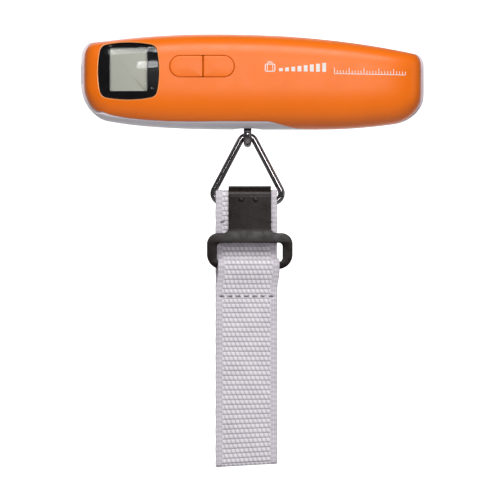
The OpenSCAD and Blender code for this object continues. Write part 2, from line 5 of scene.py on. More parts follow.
import bmesh
import bpy
import numpy as np
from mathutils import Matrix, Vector


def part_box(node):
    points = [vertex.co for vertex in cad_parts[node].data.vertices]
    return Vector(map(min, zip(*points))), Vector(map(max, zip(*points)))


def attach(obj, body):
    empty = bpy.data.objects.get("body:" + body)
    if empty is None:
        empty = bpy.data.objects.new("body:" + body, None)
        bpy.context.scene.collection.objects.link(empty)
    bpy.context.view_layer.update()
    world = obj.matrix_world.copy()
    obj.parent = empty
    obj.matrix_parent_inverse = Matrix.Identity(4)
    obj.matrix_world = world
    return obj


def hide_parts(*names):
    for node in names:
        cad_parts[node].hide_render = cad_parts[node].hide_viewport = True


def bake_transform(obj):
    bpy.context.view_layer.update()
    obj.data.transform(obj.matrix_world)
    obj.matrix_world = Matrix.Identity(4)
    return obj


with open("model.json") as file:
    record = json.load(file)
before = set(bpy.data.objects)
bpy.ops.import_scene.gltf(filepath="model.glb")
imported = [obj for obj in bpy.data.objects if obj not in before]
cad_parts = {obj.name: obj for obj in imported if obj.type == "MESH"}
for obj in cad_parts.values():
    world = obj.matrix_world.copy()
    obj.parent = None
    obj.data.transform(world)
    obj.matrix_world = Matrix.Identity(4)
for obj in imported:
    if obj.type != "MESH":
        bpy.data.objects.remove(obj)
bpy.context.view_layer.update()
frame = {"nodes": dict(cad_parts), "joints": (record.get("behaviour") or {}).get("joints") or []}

MM = 1000.0             # millimetres in a metre: shapes below are worked out in mm


def low(node):
    return np.array(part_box(node)[0]) * MM


def high(node):
    return np.array(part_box(node)[1]) * MM


joint_at = {j["name"]: np.array(j["pos_m"]) * MM for j in frame["joints"] if "pos_m" in j}
eye_x, core_y, _ = joint_at["ring_swing"]

# ------------------------ shape of the housing
LAST_U = 0.9985
REAR_HALF = high("rear_cover")[0] / LAST_U
FRONT_HALF = high("front_cover")[0] / LAST_U
CROWN_H, BELLY_H = 19.3, 19.4
FRONT_D, REAR_D = 16.0, 12.0
CROWN_X, BELLY_X = -17.0, 25.0
TOP_POWER, LOW_POWER, END_POWER = 4.5, 3.0, 5.0
# the covers meet this far ahead of the core, and run back between two stations
SEAM_TOP, SEAM_LOW, SEAM_BACK = 8.0, 11.8, -3.0
SEAM_FROM, SEAM_TO = 5.0, 36.0
SEAM_SLOPE, SLOPE_X = 0.03, -13.0       # the underside seam comes back towards the display end
SEAM_REACH = 0.97                       # the seam stays off the flattest part of the skin
SEAM_GAP = 0.05
TIP_DEPTH, TIP_X, TIP_RUN = 4.2, 67.5, 7.5
LIP_STEPS = 5
WALL = 2.0


def mix(a, b, t):
    return a + (b - a) * t


def smooth(t):
    t = np.clip(t, 0, 1)
    return t * t * (3 - 2 * t)


def round_off(x, rx, rz):
    t = np.clip((np.abs(x) - REAR_HALF + rx) / rx, 0, 1)
    return rz * (1 - np.sqrt(1 - t * t))


def top_z(x):
    x = np.asarray(x, float)
    left = CROWN_H - 2.9 * (np.maximum(CROWN_X - x, 0) / 45) ** 2 - round_off(x, 4, 6)
    right = CROWN_H - 7.5 * (np.maximum(x - CROWN_X, 0) / 82) ** 2.2 - round_off(x, 3, 4)
    return np.where(x < CROWN_X, left, right)


def low_z(x):
    x = np.asarray(x, float)
    left = BELLY_H - 2.9 * (np.maximum(BELLY_X - x, 0) / 81) ** 4.5 - round_off(x, 11, 12)
    right = BELLY_H - 2.5 * (np.maximum(x - BELLY_X, 0) / 35) ** 2.2 - round_off(x, 12, 9)
    return np.where(x < BELLY_X, left, right)


def end_fade(u):
    return (1 - np.abs(u) ** END_POWER) ** (1 / END_POWER)


def side_y(x, z, half, depth):
    """Depth of the front skin (depth below 0) or the rear one at points of the front view."""
    x, z = np.asarray(x, float), np.asarray(z, float)
    up = z > 0
    p = np.where(up, TOP_POWER, LOW_POWER)
    v = np.clip(np.abs(z) / np.where(up, top_z(x), low_z(x)), 0, 1)
    u = np.clip(np.abs(x) / half, 0, LAST_U)
    return core_y + depth * end_fade(u) * (1 - v ** p) ** (1 / p)


def face_y(x, z):
    return side_y(x, z, FRONT_HALF, -FRONT_D)


def back_y(x, z):
    return side_y(x, z, REAR_HALF, REAR_D)


def skin(u, a, half, inset):
    """Points round the housing at a share u of its half length, at angles a from the front."""
    xs = u * REAR_HALF
    up, ahead = np.sin(a) > 0, np.cos(a) > 0
    h = np.where(up, top_z(xs), low_z(xs)) - inset
    p = np.where(up, TOP_POWER, LOW_POWER)
    d = np.where(ahead, FRONT_D, REAR_D) - inset
    y = core_y - np.sign(np.cos(a)) * d * end_fade(u) * np.abs(np.cos(a)) ** (2 / p)
    z = np.sign(np.sin(a)) * h * np.abs(np.sin(a)) ** (2 / p)
    return np.stack([np.full(np.shape(a), u * (half - inset)), y, z], -1)


def seam_angle(u, half, inset, p, shift):
    """The angle at which a cover ends. p is the power of the upper or the lower half."""
    x = u * (half - inset)
    start = SEAM_TOP if p == TOP_POWER else SEAM_LOW + SEAM_SLOPE * min(0, x - SLOPE_X)
    full = mix(start, SEAM_BACK, smooth((x - SEAM_FROM) / (SEAM_TO - SEAM_FROM)))
    tip = mix(TIP_DEPTH, full, smooth((TIP_X - abs(x)) / TIP_RUN))
    depth = (tip if full > TIP_DEPTH else full) + shift
    d = (FRONT_D if depth > 0 else REAR_D) - inset
    r = min(SEAM_REACH, abs(depth) / (d * end_fade(u)))
    return math.acos(math.copysign(r ** (p / 2), depth))


def stations(count):
    """Shares of the half length, evenly spaced round the plan of the ends."""
    fine = 4000
    e = np.concatenate([np.linspace(0.27, 0.9, fine), 1 - np.geomspace(0.1, 1e-9, fine)])
    u = np.clip(1 - e ** END_POWER, 0, 1) ** (1 / END_POWER)
    u, e = np.append(u, 0), np.append(e, 1)
    run = np.concatenate([[0], np.cumsum(np.hypot(np.diff(u) * REAR_HALF, np.diff(e) * FRONT_D))])
    half = np.interp(np.linspace(0, run[-1], count), run, u)
    return np.concatenate([-half, half[-2::-1]])


def cover_rows(us, front, half, inset, count, lip):
    """A cover's skin as rows from seam to seam, with both edges turned in by lip."""
    rows = []
    for u in us:
        if front:
            start = -seam_angle(u, half, inset, LOW_POWER, SEAM_GAP)
            stop = seam_angle(u, half, inset, TOP_POWER, SEAM_GAP)
        else:
            start = seam_angle(u, half, inset, TOP_POWER, -SEAM_GAP)
            stop = 2 * math.pi - seam_angle(u, half, inset, LOW_POWER, -SEAM_GAP)
        fine = np.linspace(start, stop, 500)
        p = skin(u, fine, half, inset)
        run = np.concatenate([[0], np.cumsum(np.linalg.norm(np.diff(p, axis=0), axis=1))])
        edge = min(lip, 0.12 * run[-1])
        turn = np.linspace(0, math.pi / 2, LIP_STEPS)
        near = edge * (1 - np.cos(turn))
        s = np.concatenate([near, np.linspace(edge, run[-1] - edge, count)[1:-1], run[-1] - near[::-1]])
        cut = np.zeros(len(s))
        cut[:LIP_STEPS] = edge * (1 - np.sin(turn))
        cut[-LIP_STEPS:] = cut[:LIP_STEPS][::-1]
        rows.append(skin(u, np.interp(s, run, fine), half, inset + cut))
    return np.array(rows)


# ------------------------ mesh helpers
def make(name, verts, faces, angle=35):
    mesh = bpy.data.meshes.new(name)
    points = (np.asarray(verts, float) / MM).tolist()
    mesh.from_pydata(points, [], [tuple(int(i) for i in f) for f in faces])
    mesh.validate()
    mesh.shade_smooth()
    if angle:
        mesh.set_sharp_from_angle(angle=math.radians(angle))
    obj = bpy.data.objects.new(name, mesh)
    bpy.context.scene.collection.objects.link(obj)
    return obj


def fix_normals(obj):
    bm = bmesh.new()
    bm.from_mesh(obj.data)
    bmesh.ops.recalc_face_normals(bm, faces=bm.faces)
    bm.to_mesh(obj.data)
    bm.free()


def merge(parts):
    """One vertex and face list from several."""
    verts, faces, base = [], [], 0
    for v, f in parts:
        verts.append(np.asarray(v, float))
        faces += [[i + base for i in face] for face in f]
        base += len(v)
    return np.concatenate(verts), faces


def grid_faces(rows, cols, wrap_cols=False, wrap_rows=False):
    out = []
    for i in range(rows if wrap_rows else rows - 1):
        for j in range(cols if wrap_cols else cols - 1):
            a, b = i * cols, ((i + 1) % rows) * cols
            k = (j + 1) % cols
            out.append([a + j, a + k, b + k, b + j])
    return out


def shell(outer, inner):
    """A closed wall between two grids of points."""
    rows, cols = outer.shape[:2]
    n = rows * cols
    verts = np.concatenate([outer.reshape(-1, 3), inner.reshape(-1, 3)])
    skin_faces = grid_faces(rows, cols)
    faces = skin_faces + [[i + n for i in f[::-1]] for f in skin_faces]
    first, last = list(range(cols)), list(range((rows - 1) * cols, rows * cols))
    faces += [first[::-1], last, [i + n for i in first], [i + n for i in last[::-1]]]
    edge = [i * cols for i in range(rows)] + [i * cols + cols - 1 for i in range(rows - 1, -1, -1)]
    for a, b in zip(edge, edge[1:] + edge[:1]):
        faces.append([a, b, b + n, a + n])
    return verts, faces


def resample(points, count, closed=False):
    """Points evenly spaced along a path."""
    p = np.asarray(points, float)
    if closed:
        p = np.concatenate([p, p[:1]])
    run = np.concatenate([[0], np.cumsum(np.linalg.norm(np.diff(p, axis=0), axis=1))])
    s = np.linspace(0, run[-1], count + 1)[:-1] if closed else np.linspace(0, run[-1], count)
    return np.stack([np.interp(s, run, p[:, k]) for k in range(p.shape[1])], -1)


def tube(points, radius, sides=12, closed=False):
    """A round wire along 3-D points, as vertices and faces."""
    p = np.asarray(points, float)
    n = len(p)
    if closed:
        d = np.roll(p, -1, 0) - np.roll(p, 1, 0)
    else:
        d = np.gradient(p, axis=0)
    d /= np.linalg.norm(d, axis=1)[:, None]
    a = np.cross(d[0], [0, 1, 0])
    if np.linalg.norm(a) < 1e-3:
        a = np.cross(d[0], [0, 0, 1])
    frames = []
    for k in range(n):
        a = a - d[k] * (a @ d[k])
        a /= np.linalg.norm(a)
        frames.append((a, np.cross(d[k], a)))
    ang = np.linspace(0, 2 * math.pi, sides, endpoint=False)
    radius = np.broadcast_to(radius, (n,))
    verts = np.concatenate([
        p[k] + radius[k] * (np.outer(np.cos(ang), frames[k][0]) + np.outer(np.sin(ang), frames[k][1]))
        for k in range(n)])
    faces = grid_faces(n, sides, wrap_cols=True, wrap_rows=closed)
    if not closed:
        faces += [list(range(sides))[::-1], list(range((n - 1) * sides, n * sides))]
    return verts, faces


def lathe(profile, centre, sides=48):
    """A closed profile of (radius, height) turned about the Z axis through centre."""
    profile = np.asarray(profile, float)
    ang = np.linspace(0, 2 * math.pi, sides, endpoint=False)
    verts = np.stack([
        centre[0] + np.outer(np.cos(ang), profile[:, 0]),
        centre[1] + np.outer(np.sin(ang), profile[:, 0]),
        centre[2] + np.broadcast_to(profile[:, 1], (sides, len(profile)))], -1).reshape(-1, 3)
    faces = grid_faces(sides, len(profile), wrap_rows=True)
    m = len(profile)
    if profile[0, 0] > 1e-6:
        faces.append([i * m for i in range(sides)])
    if profile[-1, 0] > 1e-6:
        faces.append([i * m + m - 1 for i in range(sides)][::-1])
    return verts, faces


def join_cuts(name, parts):
    cutter = make(name, *merge(parts), angle=0)
    fix_normals(cutter)
    return cutter


def cut_away(obj, cutter):
    mod = obj.modifiers.new("cut", "BOOLEAN")
    mod.operation = "DIFFERENCE"
    mod.solver = "MANIFOLD"
    mod.object = cutter
    bpy.context.view_layer.update()
    dg = bpy.context.evaluated_depsgraph_get()
    mesh = bpy.data.meshes.new_from_object(obj.evaluated_get(dg))
    obj.modifiers.clear()
    obj.data = mesh
    bpy.data.objects.remove(cutter)
    mesh.shade_smooth()
    mesh.set_sharp_from_angle(angle=math.radians(32))


# ------------------------ outlines in the front view
def corner_arc(a, b, c, r, n):
    """The rounded corner at b between the sides to a and c, or b itself when it needs none."""
    a, b, c = (np.asarray(v, float) for v in (a, b, c))
    p, q = (a - b) / np.linalg.norm(a - b), (c - b) / np.linalg.norm(c - b)
    ang = math.acos(max(-1, min(1, float(p @ q))))
    if r == 0 or ang > math.radians(179):
        return [b]
    m = (p + q) / np.linalg.norm(p + q)
    mid = b + m * r / math.sin(ang / 2)
    s, e = b + p * r / math.tan(ang / 2) - mid, b + q * r / math.tan(ang / 2) - mid
    a0 = math.atan2(s[1], s[0])
    turn = (math.atan2(e[1], e[0]) - a0 + 3 * math.pi) % (2 * math.pi) - math.pi
    steps = [a0 + turn * k / n for k in range(n + 1)]
    return [mid + r * np.array([math.cos(step), math.sin(step)]) for step in steps]


def rounded(points, radii, n=10):
    out = []
    for i, b in enumerate(points):
        out += corner_arc(points[i - 1], b, points[(i + 1) % len(points)], radii[i], n)
    return np.array(out)


def box_points(cx, cz, w, h):
    x0, x1, z0, z1 = cx - w / 2, cx + w / 2, cz - h / 2, cz + h / 2
    return [(x0, z0), (x1, z0), (x1, z1), (x0, z1)]


def round_box(cx, cz, w, h, r, n=10):
    return rounded(box_points(cx, cz, w, h), [r] * 4, n)


def barrel(cx, cz, w, h, bulge, r):
    """A rounded box whose four sides bow outwards."""
    corners = [np.array(v) for v in box_points(0, 0, w - 2 * bulge, h - 2 * bulge)]
    steps = 16
    points, radii = [], []
    for side in range(4):
        a, b = corners[side], corners[(side + 1) % 4]
        out = np.array([b[1] - a[1], a[0] - b[0]]) / np.linalg.norm(b - a)
        for k in range(steps):
            t = k / steps
            points.append(np.array([cx, cz]) + mix(a, b, t) + out * bulge * 4 * t * (1 - t))
            radii.append(r if k == 0 else 0)
    return resample(rounded(points, radii, 12), 160, closed=True)


def outward(outline):
    """Outward normals of a closed outline that runs anticlockwise."""
    d = np.roll(outline, -1, 0) - np.roll(outline, 1, 0)
    n = np.stack([d[:, 1], -d[:, 0]], -1)
    return n / np.linalg.norm(n, axis=1)[:, None]


def patch(outline, start, stop, surface=face_y, edge=0.3, crown=0.0, rings=14, into=1.0):
    """A plate that follows a skin from depth start to stop, with a rounded rim.

    into is 1 on the front skin and -1 on the rear one.
    """
    o, n = np.asarray(outline, float), outward(np.asarray(outline, float))
    mid = (o.max(0) + o.min(0)) / 2
    levels = [(o, stop)]
    for turn in np.linspace(0, math.pi / 2, 6):
        levels.append((o - n * edge * (1 - math.cos(turn)), start + edge * (1 - math.sin(turn))))
    rim = levels[-1][0]
    for k in range(1, rings):
        t = 1 - k / rings
        levels.append((mid + (rim - mid) * t, start - crown * (1 - t * t)))
    verts, m = [], len(o)
    for q, depth in levels:
        verts.append(np.stack([q[:, 0], surface(q[:, 0], q[:, 1]) + into * depth, q[:, 1]], -1))
    centre = [mid[0], float(surface(mid[0], mid[1])) + into * (start - crown), mid[1]]
    verts = np.concatenate(verts + [[centre]])
    faces = grid_faces(len(levels), m, wrap_cols=True)
    last = (len(levels) - 1) * m
    faces += [[last + j, last + (j + 1) % m, len(verts) - 1] for j in range(m)]
    faces.append(list(range(m))[::-1])
    return verts, faces


def prism(outline, y0, y1):
    o = np.asarray(outline, float)
    m = len(o)
    verts = np.concatenate([np.stack([o[:, 0], np.full(m, y), o[:, 1]], -1) for y in (y0, y1)])
    faces = grid_faces(2, m, wrap_cols=True)
    return verts, faces + [list(range(m))[::-1], list(range(m, 2 * m))]


def cylinder_y(x, z, r, y0, y1, sides=48):
    ang = np.linspace(0, 2 * math.pi, sides, endpoint=False)
    return prism(np.stack([x + r * np.cos(ang), z + r * np.sin(ang)], -1), y0, y1)


def on_skin(points, depth, surface=face_y):
    p = np.asarray(points, float)
    return np.stack([p[:, 0], surface(p[:, 0], p[:, 1]) + depth, p[:, 1]], -1)


def bead(outline, radius, depth):
    return tube(on_skin(resample(outline, 240, closed=True), depth), radius, 8, closed=True)


def ribbon(points, width, closed=False, surface=face_y, lift=-0.03, into=1.0):
    """A printed line on the skin, as a very thin strip."""
    p = np.asarray(points, float)
    length = np.linalg.norm(np.diff(p, axis=0), axis=1).sum()
    p = resample(p, max(6, int(length / 0.35)), closed)
    if closed:
        d = np.roll(p, -1, 0) - np.roll(p, 1, 0)
    else:
        d = np.gradient(p, axis=0)
    d /= np.linalg.norm(d, axis=1)[:, None]
    n = np.stack([-d[:, 1], d[:, 0]], -1) * width / 2
    cols = [on_skin(p + n, lift, surface), on_skin(p - n, lift, surface),
            on_skin(p - n, 0.05 * into, surface), on_skin(p + n, 0.05 * into, surface)]
    verts = np.stack(cols, 1).reshape(-1, 3)
    faces = grid_faces(len(p), 4, wrap_cols=True, wrap_rows=closed)
    if not closed:
        m = len(verts)
        faces += [[0, 1, 2, 3][::-1], [m - 4, m - 3, m - 2, m - 1]]
    return verts, faces


def arc(mid, r, a0, a1, n=40):
    ang = np.radians(np.linspace(a0, a1, n))
    return np.stack([mid[0] + r * np.cos(ang), mid[1] + r * np.sin(ang)], -1)


# ------------------------ materials
def new_material(name):
    mat = bpy.data.materials.new(name)
    mat.use_nodes = True
    nodes, links = mat.node_tree.nodes, mat.node_tree.links
    bsdf = nodes["Principled BSDF"]
    coord = nodes.new("ShaderNodeTexCoord")
    return mat, nodes, links, bsdf, coord.outputs["Object"]


def noise(nodes, links, vector, scale, detail=3.0, stretch=None, rough=0.5):
    if stretch:
        mapping = nodes.new("ShaderNodeMapping")
        mapping.inputs["Scale"].default_value = stretch
        links.new(vector, mapping.inputs["Vector"])
        vector = mapping.outputs["Vector"]
    tex = nodes.new("ShaderNodeTexNoise")
    tex.inputs["Scale"].default_value = scale
    tex.inputs["Detail"].default_value = detail
    tex.inputs["Roughness"].default_value = rough
    links.new(vector, tex.inputs["Vector"])
    return tex.outputs["Fac"]


def ramp(nodes, links, fac, stops):
    node = nodes.new("ShaderNodeValToRGB")
    while len(node.color_ramp.elements) < len(stops):
        node.color_ramp.elements.new(0.5)
    for element, (at, colour) in zip(node.color_ramp.elements, stops):
        element.position = at
        element.color = (*colour, 1)
    links.new(fac, node.inputs["Fac"])
    return node.outputs["Color"]


def spread(nodes, links, value, lo, hi, from_lo=0.3, from_hi=0.7):
    node = nodes.new("ShaderNodeMapRange")
    node.inputs["From Min"].default_value = from_lo
    node.inputs["From Max"].default_value = from_hi
    node.inputs["To Min"].default_value = lo
    node.inputs["To Max"].default_value = hi
    links.new(value, node.inputs["Value"])
    return node.outputs["Result"]


def bump(nodes, links, height, strength, distance, below=None):
    node = nodes.new("ShaderNodeBump")
    node.inputs["Strength"].default_value = strength
    node.inputs["Distance"].default_value = distance
    links.new(height, node.inputs["Height"])
    if below is not None:
        links.new(below, node.inputs["Normal"])
    return node.outputs["Normal"]


def shade(colour, k):
    return tuple(min(1.0, c * k) for c in colour)


def plain(name, colour, rough, metal=0.0, mottle=0.06, mottle_scale=90.0, grain=0.25,
          grain_scale=2600.0, grain_depth=2e-5, stretch=None, rough_spread=0.06, coat=0.0,
          coat_rough=0.1, sheen=0.0, ior=1.5):
    """A moulded, cast or machined finish: slow colour drift, fine grain and uneven gloss."""
    mat, nodes, links, bsdf, at = new_material(name)
    slow = noise(nodes, links, at, mottle_scale, 4.0)
    tones = [(0.3, shade(colour, 1 - mottle)), (0.7, shade(colour, 1 + mottle))]
    links.new(ramp(nodes, links, slow, tones), bsdf.inputs["Base Color"])
    fine = noise(nodes, links, at, grain_scale, 3.0, stretch)
    links.new(bump(nodes, links, fine, grain, grain_depth), bsdf.inputs["Normal"])
    patchy = noise(nodes, links, at, mottle_scale * 2.7, 5.0, stretch, 0.6)
    dull, glossy = min(1, rough + rough_spread), max(0.02, rough - rough_spread)
    links.new(spread(nodes, links, patchy, glossy, dull), bsdf.inputs["Roughness"])
    bsdf.inputs["Metallic"].default_value = metal
    bsdf.inputs["Coat Weight"].default_value = coat
    bsdf.inputs["Coat Roughness"].default_value = coat_rough
    bsdf.inputs["Sheen Weight"].default_value = sheen
    bsdf.inputs["IOR"].default_value = ior
    return mat


def lcd_material():
    mat, nodes, links, bsdf, at = new_material("lcd")
    axes = nodes.new("ShaderNodeSeparateXYZ")
    links.new(at, axes.inputs["Vector"])
    lo, hi = low("lcd_panel")[0] / MM, high("lcd_panel")[0] / MM
    # painted light: the display's colour runs from darker at -X to lighter at +X, standing in for more light
    # falling on that side
    across = spread(nodes, links, axes.outputs["X"], 0, 1, lo, hi)
    links.new(ramp(nodes, links, across, [(0, (0.30, 0.31, 0.25)), (1, (0.38, 0.38, 0.31))]),
              bsdf.inputs["Base Color"])
    fine = noise(nodes, links, at, 5200, 2.0)
    links.new(bump(nodes, links, fine, 0.15, 1e-5), bsdf.inputs["Normal"])
    bsdf.inputs["Roughness"].default_value = 0.22
    return mat


def lens_material():
    mat, nodes, links, bsdf, at = new_material("clear_lens")
    haze = noise(nodes, links, at, 160, 5.0)
    links.new(spread(nodes, links, haze, 0.02, 0.07), bsdf.inputs["Roughness"])
    links.new(ramp(nodes, links, haze, [(0.3, (0.86, 0.88, 0.9)), (0.7, (0.92, 0.93, 0.94))]),
              bsdf.inputs["Base Color"])
    bsdf.inputs["Metallic"].default_value = 1.0
    bsdf.inputs["Alpha"].default_value = 0.02
    return mat


def board_material():
    mat, nodes, links, bsdf, at = new_material("board")
    cells = nodes.new("ShaderNodeTexVoronoi")
    cells.distance = "CHEBYCHEV"
    cells.feature = "F1"
    cells.inputs["Scale"].default_value = 420
    links.new(at, cells.inputs["Vector"])
    links.new(ramp(nodes, links, cells.outputs["Distance"],
                   [(0.30, (0.012, 0.11, 0.035)), (0.42, (0.03, 0.22, 0.07)), (0.5, (0.012, 0.11, 0.035))]),
              bsdf.inputs["Base Color"])
    links.new(bump(nodes, links, cells.outputs["Distance"], 0.2, 3e-5), bsdf.inputs["Normal"])
    bsdf.inputs["Roughness"].default_value = 0.3
    return mat


def webbing_material():
    mat, nodes, links, bsdf, at = new_material("webbing")
    height = nodes.new("ShaderNodeAttribute")
    height.attribute_name = "weave"
    tone = height.outputs["Fac"]
    drift = noise(nodes, links, at, 150, 4.0)
    blend_in = nodes.new("ShaderNodeMath")
    blend_in.operation = "MULTIPLY_ADD"
    links.new(drift, blend_in.inputs[0])
    blend_in.inputs[1].default_value = 0.30
    links.new(tone, blend_in.inputs[2])
    # painted shade and highlight: the colour follows the weave's height, darker in the valleys and lighter on
    # the raised floats, with a random drift mixed in
    links.new(ramp(nodes, links, blend_in.outputs["Value"],
                   [(0.12, (0.27, 0.23, 0.27)), (0.42, (0.56, 0.51, 0.57)), (0.85, (0.82, 0.78, 0.84)),
                    (1.0, (0.93, 0.90, 0.94))]),
              bsdf.inputs["Base Color"])
    threads = noise(nodes, links, at, 1500, 3.0, (4.0, 4.0, 0.8))
    fuzz = noise(nodes, links, at, 4200, 2.0)
    first = bump(nodes, links, threads, 0.5, 6e-5)
    links.new(bump(nodes, links, fuzz, 0.25, 3e-5, first), bsdf.inputs["Normal"])
    links.new(spread(nodes, links, fuzz, 0.5, 0.68), bsdf.inputs["Roughness"])
    bsdf.inputs["Sheen Weight"].default_value = 0.25
    bsdf.inputs["Sheen Roughness"].default_value = 0.4
    return mat


def set_material(obj, mat):
    obj.data.materials.clear()
    obj.data.materials.append(mat)


ORANGE = (0.98, 0.185, 0.004)
mats = {
    "orange_plastic": plain("orange_plastic", ORANGE, 0.36, mottle=0.03, mottle_scale=60, grain=0.35,
                            grain_scale=1500, grain_depth=2.5e-5, rough_spread=0.05, coat=0.05,
                            coat_rough=0.3, ior=1.42),
    "white_plastic": plain("white_plastic", (0.80, 0.75, 0.81), 0.40, mottle=0.03, grain=0.3,
                           grain_scale=1800),
    "screw_steel": plain("screw_steel", (0.60, 0.60, 0.62), 0.28, 1.0, grain_scale=3000, stretch=(1, 1, 6)),
    "black_print": plain("black_print", (0.007, 0.007, 0.008), 0.14, ior=1.15, mottle=0.3, grain=0.05,
                         rough_spread=0.04),
    "black_plastic": plain("black_plastic", (0.03, 0.03, 0.033), 0.45, mottle=0.2),
    "zebra_rubber": plain("zebra_rubber", (0.55, 0.25, 0.24), 0.6, stretch=(30, 1, 1), grain=0.6),
    "component_body": plain("component_body", (0.42, 0.30, 0.17), 0.42, mottle=0.35, mottle_scale=500),
    "switch_steel": plain("switch_steel", (0.62, 0.62, 0.60), 0.3, 0.8),
    "cell_steel": plain("cell_steel", (0.72, 0.72, 0.71), 0.22, 1.0, stretch=(1, 1, 12)),
    "contact_brass": plain("contact_brass", (0.80, 0.58, 0.24), 0.25, 1.0, stretch=(8, 1, 1)),
    "beam_aluminium": plain("beam_aluminium", (0.70, 0.71, 0.73), 0.33, 1.0, stretch=(1, 9, 9), grain=0.5),
    "gauge_foil": plain("gauge_foil", (0.70, 0.45, 0.16), 0.35, 0.4, stretch=(1, 20, 1), grain=0.6),
    "silicone": plain("silicone", (0.75, 0.74, 0.70), 0.35, sheen=0.1, grain=0.5, grain_scale=700),
    "wire_sheath": plain("wire_sheath", (0.42, 0.02, 0.02), 0.4),
    "zinc_steel": plain("zinc_steel", (0.63, 0.64, 0.66), 0.24, 1.0, grain=0.3, grain_scale=1400),
    "polished_steel": plain("polished_steel", (0.30, 0.28, 0.29), 0.09, 1.0, mottle=0.04, grain=0.12,
                            grain_scale=900, rough_spread=0.05, stretch=(1, 1, 0.3)),
    "thread": plain("thread", (0.16, 0.15, 0.16), 0.7, mottle=0.2, mottle_scale=900, sheen=0.3,
                    grain=0.8, grain_scale=2200, stretch=(1, 3, 3)),
    "black_nickel": plain("black_nickel", (0.010, 0.006, 0.005), 0.26, 0.0, ior=1.3, mottle=0.15,
                          mottle_scale=120, grain=0.3, grain_scale=1100, grain_depth=1.5e-5,
                          rough_spread=0.07),
    "print_white": plain("print_white", (0.86, 0.84, 0.80), 0.5, mottle=0.05, mottle_scale=400),
    "well_grey": plain("well_grey", (0.34, 0.34, 0.32), 0.3, mottle=0.08),
    # painted highlight: a lighter, glossier orange than the body, for the bright line along the lens's
    # rounded edge
    "bead_orange": plain("bead_orange", (1.0, 0.36, 0.10), 0.25, mottle=0.04, grain=0.2, coat=0.3),
    "lcd_glass": lcd_material(),
    "clear_lens": lens_material(),
    "board_laminate": board_material(),
    "webbing": webbing_material(),
}


def piece(name, parts, body, material, replaces=(), angle=35):
    """A mesh in its material, riding one body. parts is one solid or a list of them."""
    obj = make(name, *(merge(parts) if isinstance(parts, list) else parts), angle=angle)
    fix_normals(obj)
    set_material(obj, mats[material])
    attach(obj, body)
    if replaces:
        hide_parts(*replaces)
    return obj


# carried-over nodes keep their shape and take a finish
NODE_FINISH = {
    "cover_screws": "screw_steel", "lcd_panel": "lcd_glass", "lcd_frame": "black_plastic",
    "zebra_strip": "zebra_rubber", "circuit_board": "board_laminate", "controller_chip": "black_plastic",
    "board_components": "component_body", "tact_switches": "switch_steel", "coin_cell": "cell_steel",
    "battery_tray": "black_plastic", "battery_contacts": "contact_brass", "load_cell": "beam_aluminium",
    "strain_gauges": "gauge_foil", "gauge_sealant": "silicone", "signal_wires": "wire_sheath",
    "cell_bracket": "zinc_steel", "cell_screws": "screw_steel", "bracket_screws": "screw_steel",
    "eye_bushing": "black_plastic", "eye_nut": "screw_steel", "eye_washer": "screw_steel",
}
for name, finish in NODE_FINISH.items():
    set_material(frame["nodes"][name], mats[finish])

# ------------------------ covers
LENS_X, LENS_Z, LENS_W, LENS_H, LENS_T = -50.25, 4.1, 25.0, 23.4, 1.1
WINDOW_Z, WINDOW_W, WINDOW_H = 4.8, 15.2, 17.6
PILL_X, PILL_Z, PILL_W, PILL_H = -20.5, 6.0, 26.6, 9.2
SPLIT_X, GAP = -20.1, 0.25
POSTS = [(-57.2, -10.6), (-22, 13.4), (12, -13.2), (57.5, 5), (57.5, -8)]
WELL_R, WELL_FLOOR = 2.55, 7.6
CUT_REACH, REAR_REACH = 30.0, 25.0      # cutters start and end clear of the housing
lens_outline = barrel(LENS_X, LENS_Z, LENS_W, LENS_H, 1.3, 3.4)
pill_outline = round_box(PILL_X, PILL_Z, PILL_W, PILL_H, PILL_H / 2 - 0.01, 16)


def grow(outline, by):
    return outline + outward(outline) * by


def cover(name, front, half, finish, node):
    us = stations(100)
    outer, inner = (cover_rows(us, front, half, inset, 100, lip) for inset, lip in ((0, 0.35), (WALL, 0.05)))
    return piece(name, shell(outer, inner), "housing", finish, [node])


def build_front_shell():
    front = cover("front_shell", True, FRONT_HALF, "orange_plastic", "front_cover")
    holes = [prism(outline, -CUT_REACH, -8) for outline in (grow(lens_outline, 0.06), pill_outline)]
    cut_away(front, join_cuts("front_cuts", holes))


def eye_hole():
    """The opening in the underside for the load eye's bush."""
    sides = 64
    ring = np.linspace(0, 2 * math.pi, sides, endpoint=False)
    hole = np.stack([eye_x + 6.45 * np.cos(ring), core_y + 6.45 * np.sin(ring)], -1)
    verts = np.concatenate([np.column_stack([hole, np.full(sides, z)]) for z in (-CUT_REACH, -10.0)])
    caps = [list(range(sides))[::-1], list(range(sides, 2 * sides))]
    return verts, grid_faces(2, sides, wrap_cols=True) + caps


def build_rear_shell():
    rear = cover("rear_shell", False, REAR_HALF, "white_plastic", "rear_cover")
    lo, hi = low("battery_door"), high("battery_door")
    mid, size = (lo + hi) / 2, hi - lo + 0.6
    cuts = [prism(round_box(mid[0], mid[2], size[0], size[2], 1.5), 8.5, REAR_REACH)]
    cuts += [cylinder_y(x, z, WELL_R, WELL_FLOOR, REAR_REACH) for x, z in POSTS]
    cut_away(rear, join_cuts("rear_cuts", [*cuts, eye_hole()]))


def build_rear_details():
    """Wells that the screws sink into, and the boss and bearing round the load eye."""
    wells = []
    for x, z in POSTS:
        top = float(back_y(x, z)) + 0.02
        wells.append(tube_wall(x, z, WELL_R, 3.2, WELL_FLOOR, top - 0.35))
    piece("screw_wells", wells, "housing", "white_plastic")
    piece("eye_boss", ring_z(6.42, 7.6, -18.2, -13.2), "housing", "white_plastic")
    piece("eye_bearing", ring_z(1.95, 6.35, -18.0, -14.0), "housing", "black_plastic")


